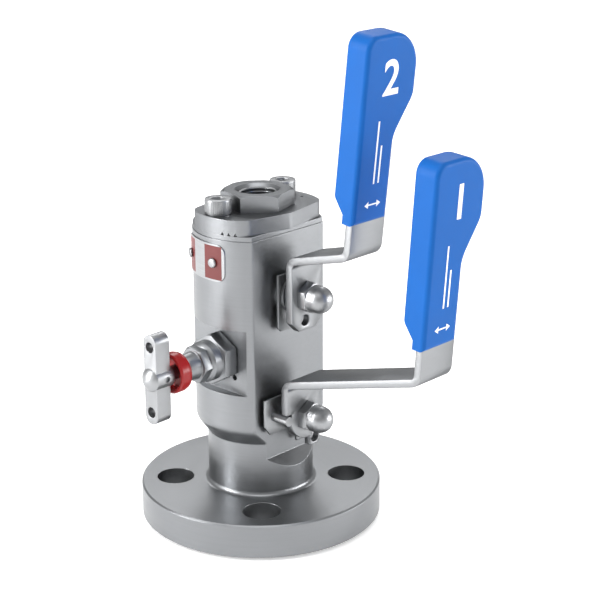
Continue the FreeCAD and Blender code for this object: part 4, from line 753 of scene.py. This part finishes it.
class MANIFOLD_OT_stage(bpy.types.Operator):
    """Make the floor, the soft lights and the camera"""

    bl_idname = "manifold.stage"
    bl_label = "Stage"

    def execute(self, context):
        settings = context.scene.manifold_stage
        self.add_floor(settings)
        self.add_lights(context, settings)
        self.add_camera(context, settings)
        return {"FINISHED"}

    def add_floor(self, settings):
        """A pale, slightly glowing floor."""
        half = settings.floor_half
        mesh = bpy.data.meshes.new("floor")
        corners = [(-half, -half, 0), (half, -half, 0), (half, half, 0), (-half, half, 0)]
        mesh.from_pydata(corners, [], [(0, 1, 2, 3)])
        material, tree, shader = new_material("pale_floor")
        grain = noise(tree, object_point(tree), 9.0, detail=3)
        tree.links.new(mix_tones(tree, grain, *FLOOR_TONES), shader.inputs["Base Color"])
        shader.inputs["Emission Color"].default_value = (1, 1, 1, 1)
        shader.inputs["Emission Strength"].default_value = 0.35
        shader.inputs["Roughness"].default_value = 0.8
        shader.inputs["Specular IOR Level"].default_value = 0.1
        object_from("floor", mesh, [material])

    def add_lights(self, context, settings):
        """The soft room and its four lamps."""
        world = bpy.data.worlds.new("soft_room")
        context.scene.world = world
        world.use_nodes = True
        tree = world.node_tree
        backdrop = tree.nodes["Background"]
        direction = tree.nodes.new("ShaderNodeTexCoord")
        parts = tree.nodes.new("ShaderNodeSeparateXYZ")
        tree.links.new(direction.outputs["Generated"], parts.inputs[0])
        lift = spread(tree, parts.outputs["Z"], -0.2, 0.9, 0, 1)
        plain = mix_tones(tree, lift, *ROOM_TONES)
        toward = tree.nodes.new("ShaderNodeVectorMath")
        toward.operation = "DOT_PRODUCT"
        toward.inputs[1].default_value = PATCH_WAY
        tree.links.new(direction.outputs["Generated"], toward.inputs[0])
        patch = spread(tree, toward.outputs["Value"], *PATCH_FADE, 0, PATCH_DEPTH)
        tree.links.new(mix_tones(tree, patch, plain, PATCH_TONE), backdrop.inputs["Color"])
        backdrop.inputs["Strength"].default_value = settings.room_light
        context.scene.view_settings.view_transform = "Standard"
        for name, place, size, power in LAMPS:
            light = bpy.data.lights.new(name, "AREA")
            light.shape = "RECTANGLE"
            light.size, light.size_y = size
            light.energy = power
            lamp = bpy.data.objects.new(name, light)
            context.scene.collection.objects.link(lamp)
            lamp.location = place
            aim = LAMP_AIM - Vector(place)
            lamp.rotation_euler = aim.to_track_quat("-Z", "Y").to_euler()

    def add_camera(self, context, settings):
        """The photograph's camera."""
        reach = math.cos(CAMERA_PITCH)
        ahead = Vector((math.sin(CAMERA_YAW) * reach, math.cos(CAMERA_YAW) * reach, -math.sin(CAMERA_PITCH)))
        level = Vector((math.cos(CAMERA_YAW), -math.sin(CAMERA_YAW), 0))
        upward = level.cross(ahead)
        right = math.cos(CAMERA_ROLL) * level + math.sin(CAMERA_ROLL) * upward
        above = -math.sin(CAMERA_ROLL) * level + math.cos(CAMERA_ROLL) * upward
        lens = bpy.data.cameras.new("camera")
        lens.lens = settings.lens
        lens.sensor_width = 36
        camera = bpy.data.objects.new("camera", lens)
        context.scene.collection.objects.link(camera)
        camera.matrix_world = Matrix((right, above, -ahead)).transposed().to_4x4()
        camera.location = settings.camera_place
        context.scene.camera = camera


class MANIFOLD_OT_steel(bpy.types.Operator):
    """Finish the steel pieces"""

    bl_idname = "manifold.steel"
    bl_label = "Steel pieces"

    def execute(self, context):
        tones = context.scene.manifold_finish
        body = steel("body_steel", tones.body_tone, BORE_AXIS, roughness=0.33, contrast=0.05, fineness=700)
        dress(["valve_body"], body)
        upright = steel("turned_upright_steel", tones.turned_tone, BORE_AXIS,
                        roughness=0.33, contrast=0.05, grazing=0.5)
        dress(["spacer_ring", "flow_spacer", "retaining_plate", "outlet_connector"], upright)
        sheet = steel("lever_steel", tones.sheet_tone, SHEET_GRAIN,
                      roughness=0.36, contrast=0.05, grazing=0.2)
        for side, axis in STEM_AXES.items():
            outward = steel(side + "_turned_steel", tones.turned_tone, axis, roughness=0.30)
            dress([side + "_" + word for word in ("stem", "gland_flange", "disc_springs")], outward)
            softened(side + "_gland_nut", 0.25 * MM, outward)
            bright = steel(side + "_bright_steel", tones.bright_tone, axis,
                           roughness=0.34, contrast=0.05, grazing=0.6)
            dress([side + "_ball"], bright)
            softened(side + "_cap_nut", 0.3 * MM, bright)
            softened(side + "_lever", 0.45 * MM, sheet)
            softened(side + "_stop_plate", 0.2 * MM, sheet)
        screw = steel("screw_steel", tones.bright_tone, FASTENER_GRAIN,
                      roughness=0.36, contrast=0.05, grazing=0.6)
        dress(["primary_stop_pin"], screw)
        softened("name_plate_rivets", 1.1 * MM, screw, segments=4)
        softened("plate_screws", 0.25 * MM, screw, segments=3)
        bleed = steel("turned_bleed_steel", tones.turned_tone, BLEED_AXIS, roughness=0.34)
        dress(["bleed_spindle", "bleed_needle", "bleed_lock_pin", "bleed_set_screw"], bleed)
        softened("bleed_bonnet", 0.35 * MM, bleed)
        softened("bleed_packing_nut", 0.3 * MM, bleed)
        cast = steel("tee_handle_steel", tones.bright_tone, CAST_GRAIN, roughness=0.36, contrast=0.04)
        softened("bleed_tee_handle", 0.9 * MM, cast, segments=4)
        return {"FINISHED"}


class MANIFOLD_OT_knurls(bpy.types.Operator):
    """Knurl the heads of the retaining screws"""

    bl_idname = "manifold.knurls"
    bl_label = "Knurled screw heads"

    def execute(self, context):
        tones = context.scene.manifold_finish
        sizes = context.scene.manifold_knurls
        ridges = steel("knurl_steel", scaled(tones.bright_tone, 0.75), FASTENER_GRAIN,
                       roughness=0.28, contrast=0.05)
        low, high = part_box("plate_screws")
        head = sizes.head_radius
        head_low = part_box("retaining_plate")[1].z
        tree = knurl_tree()
        meshes = []
        for middle in ((high.x - head, low.y + head), (low.x + head, high.y - head)):
            mesh = grown_mesh("knurl", tree, {
                "Radius": head - KNURL_SINK, "Count": sizes.count, "Ridge": sizes.ridge,
                "Height": high.z - head_low - 2 * sizes.margin, "Material": ridges})
            mesh.transform(Matrix.Translation((*middle, (head_low + high.z) / 2)))
            meshes.append(mesh)
        piece = object_from("screw_knurls", joined("screw_knurls", meshes), [ridges])
        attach(piece, "body")
        return {"FINISHED"}


class MANIFOLD_OT_plastic(bpy.types.Operator):
    """Finish the grips, the dust cap, the seats, the packings and the seal"""

    bl_idname = "manifold.plastic"
    bl_label = "Plastic and rubber pieces"

    def execute(self, context):
        tones = context.scene.manifold_finish
        blue = plastic("grip_plastic", tones.grip_tone, roughness=0.42, coat=0, gloss=0.12, edge_highlight_tone=1.3)
        dress(["primary_grip", "secondary_grip"], blue)
        red = plastic("cap_plastic", tones.cap_tone, roughness=0.28, coat=0.1, gloss=0.35)
        dress(["bleed_dust_cap"], red)
        seats = seat_material("seat_plastic", SEAT_TONE, 0.45)
        packing = seat_material("packing_graphite", PACKING_TONE, 0.5)
        rubber = seat_material("seal_rubber", SEAL_TONE, 0.6)
        for side in ("primary", "secondary"):
            dress([side + "_seats", side + "_thrust_washer"], seats)
            dress([side + "_stem_packing"], packing)
        dress(["bleed_packing"], packing)
        dress(["outlet_seal"], rubber)
        return {"FINISHED"}


class MANIFOLD_OT_name_plate(bpy.types.Operator):
    """Print the red ends of the name plate"""

    bl_idname = "manifold.name_plate"
    bl_label = "Name plate"

    def execute(self, context):
        dress(["name_plate"], name_plate_material(context.scene.manifold_finish))
        return {"FINISHED"}


class MANIFOLD_OT_threads(bpy.types.Operator):
    """Cut the look of a thread into the outlet and the vent"""

    bl_idname = "manifold.threads"
    bl_label = "Threads"

    def execute(self, context):
        sizes = context.scene.manifold_threads
        tones = context.scene.manifold_finish
        tree = thread_tree()
        # The thread steel is the turned steel made darker: painted shade inside the bores.
        shaded_thread_steel = steel("thread_steel_painted_shade", scaled(tones.turned_tone, 0.8), BORE_AXIS, roughness=0.3)
        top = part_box("outlet_connector")[1].z - OUTLET_LEAD_IN
        outlet = grown_mesh("outlet_thread", tree, {
            "Radius": sizes.outlet_radius, "Pitch": sizes.outlet_pitch, "Turns": OUTLET_TURNS,
            "Material": shaded_thread_steel})
        outlet.transform(Matrix.Translation((0, 0, top - OUTLET_TURNS * sizes.outlet_pitch)))
        piece = object_from("outlet_thread", outlet, [])
        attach(piece, "body")
        vent = grown_mesh("vent_thread", tree, {
            "Radius": sizes.vent_radius, "Pitch": sizes.vent_pitch, "Turns": VENT_TURNS,
            "Material": shaded_thread_steel})
        vent.transform(Matrix.Rotation(math.radians(-90), 4, "Y"))
        vent.transform(Matrix.Translation((VENT_START, MOUNTS["vent"]["pos_m"][1], BLEED_HEIGHT)))
        piece = object_from("vent_thread", vent, [])
        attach(piece, "body")
        return {"FINISHED"}


class MANIFOLD_OT_marks(bpy.types.Operator):
    """Print a number, two bars and a double-headed arrow on each grip"""

    bl_idname = "manifold.marks"
    bl_label = "Marks on the grips"

    def execute(self, context):
        sizes = context.scene.manifold_marks
        ink, tree, shader = new_material("white_ink")
        tone = mix_tones(tree, noise(tree, object_point(tree), 600.0), *INK_TONES)
        tree.links.new(tone, shader.inputs["Base Color"])
        shader.inputs["Roughness"].default_value = 0.45
        for side, (numeral, (foot_x, foot_z), lean) in GRIPS.items():
            number = text_mesh(side + "_number", numeral, sizes.numeral_height, sizes.ink_thickness)
            number.transform(Matrix.Translation((*NUMBER_PLACE, 0)))
            mesh = joined(side + "_marks", [number, self.bars(side, sizes), self.arrow(side, sizes)])
            across = Vector((0, 1, 0))
            upward = Vector((math.sin(lean), 0, math.cos(lean)))
            outward = Vector((math.cos(lean), 0, -math.sin(lean)))
            turn = Matrix((across, upward, outward)).transposed().to_4x4()
            place = Vector((foot_x, 0, foot_z)) + outward * (GRIP_WALL - INK_SINK)
            mesh.transform(Matrix.Translation(place) @ turn)
            piece = object_from(side + "_marks", mesh, [ink])
            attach(piece, side + "_handle")
        return {"FINISHED"}

    def bars(self, side, sizes):
        """Two upright bars that start at one height, the second one shorter."""
        low = BAR_HEIGHT - sizes.bar_length / 2
        meshes = []
        for offset, share in BARS:
            left = offset - BAR_WIDTH / 2
            right = left + BAR_WIDTH
            high = low + sizes.bar_length * share
            outline = [(left, low), (right, low), (right, high), (left, high)]
            meshes.append(slab_mesh(side + "_bar", outline, sizes.ink_thickness))
        return joined(side + "_bars", meshes)

    def arrow(self, side, sizes):
        """A level arrow with a head at each end."""
        tip = sizes.arrow_length / 2
        neck = tip - ARROW_HEAD
        outline = [
            (-tip, 0), (-neck, -ARROW_HALF_WIDTH), (-neck, -ARROW_HALF_SHAFT),
            (neck, -ARROW_HALF_SHAFT), (neck, -ARROW_HALF_WIDTH),
            (tip, 0), (neck, ARROW_HALF_WIDTH), (neck, ARROW_HALF_SHAFT),
            (-neck, ARROW_HALF_SHAFT), (-neck, ARROW_HALF_WIDTH)]
        moved = [(x + ARROW_PLACE[0], y + ARROW_PLACE[1]) for x, y in outline]
        return slab_mesh(side + "_arrow", moved, sizes.ink_thickness)


class MANIFOLD_PT_panel(bpy.types.Panel):
    """Lists the manifold's operators and sizes"""

    bl_label = "Valve manifold"
    bl_idname = "MANIFOLD_PT_panel"
    bl_space_type = "VIEW_3D"
    bl_region_type = "UI"
    bl_category = "Manifold"

    def draw(self, context):
        for operator in OPERATORS:
            self.layout.operator(operator.bl_idname)
        for settings in SETTINGS:
            column = self.layout.column(align=True)
            group_of_sizes = getattr(context.scene, settings)
            for key in group_of_sizes.__annotations__:
                column.prop(group_of_sizes, key)


SETTINGS = {
    "manifold_finish": ManifoldFinish,
    "manifold_marks": ManifoldMarks,
    "manifold_threads": ManifoldThreads,
    "manifold_knurls": ManifoldKnurls,
    "manifold_stage": ManifoldStage,
}
OPERATORS = (
    MANIFOLD_OT_stage,
    MANIFOLD_OT_steel,
    MANIFOLD_OT_plastic,
    MANIFOLD_OT_name_plate,
    MANIFOLD_OT_threads,
    MANIFOLD_OT_knurls,
    MANIFOLD_OT_marks,
)


def register():
    """Adds the sizes, the operators and the panel."""
    for name, settings in SETTINGS.items():
        bpy.utils.register_class(settings)
        setattr(bpy.types.Scene, name, bpy.props.PointerProperty(type=settings))
    for operator in OPERATORS:
        bpy.utils.register_class(operator)
    bpy.utils.register_class(MANIFOLD_PT_panel)


def unregister():
    """Takes them away again, in the other order."""
    bpy.utils.unregister_class(MANIFOLD_PT_panel)
    for operator in reversed(OPERATORS):
        bpy.utils.unregister_class(operator)
    for name, settings in reversed(SETTINGS.items()):
        delattr(bpy.types.Scene, name)
        bpy.utils.unregister_class(settings)


def main():
    """Makes every piece."""
    register()
    bpy.ops.manifold.stage()
    bpy.ops.manifold.steel()
    bpy.ops.manifold.plastic()
    bpy.ops.manifold.name_plate()
    bpy.ops.manifold.threads()
    bpy.ops.manifold.knurls()
    bpy.ops.manifold.marks()


if __name__ == "__main__":
    main()
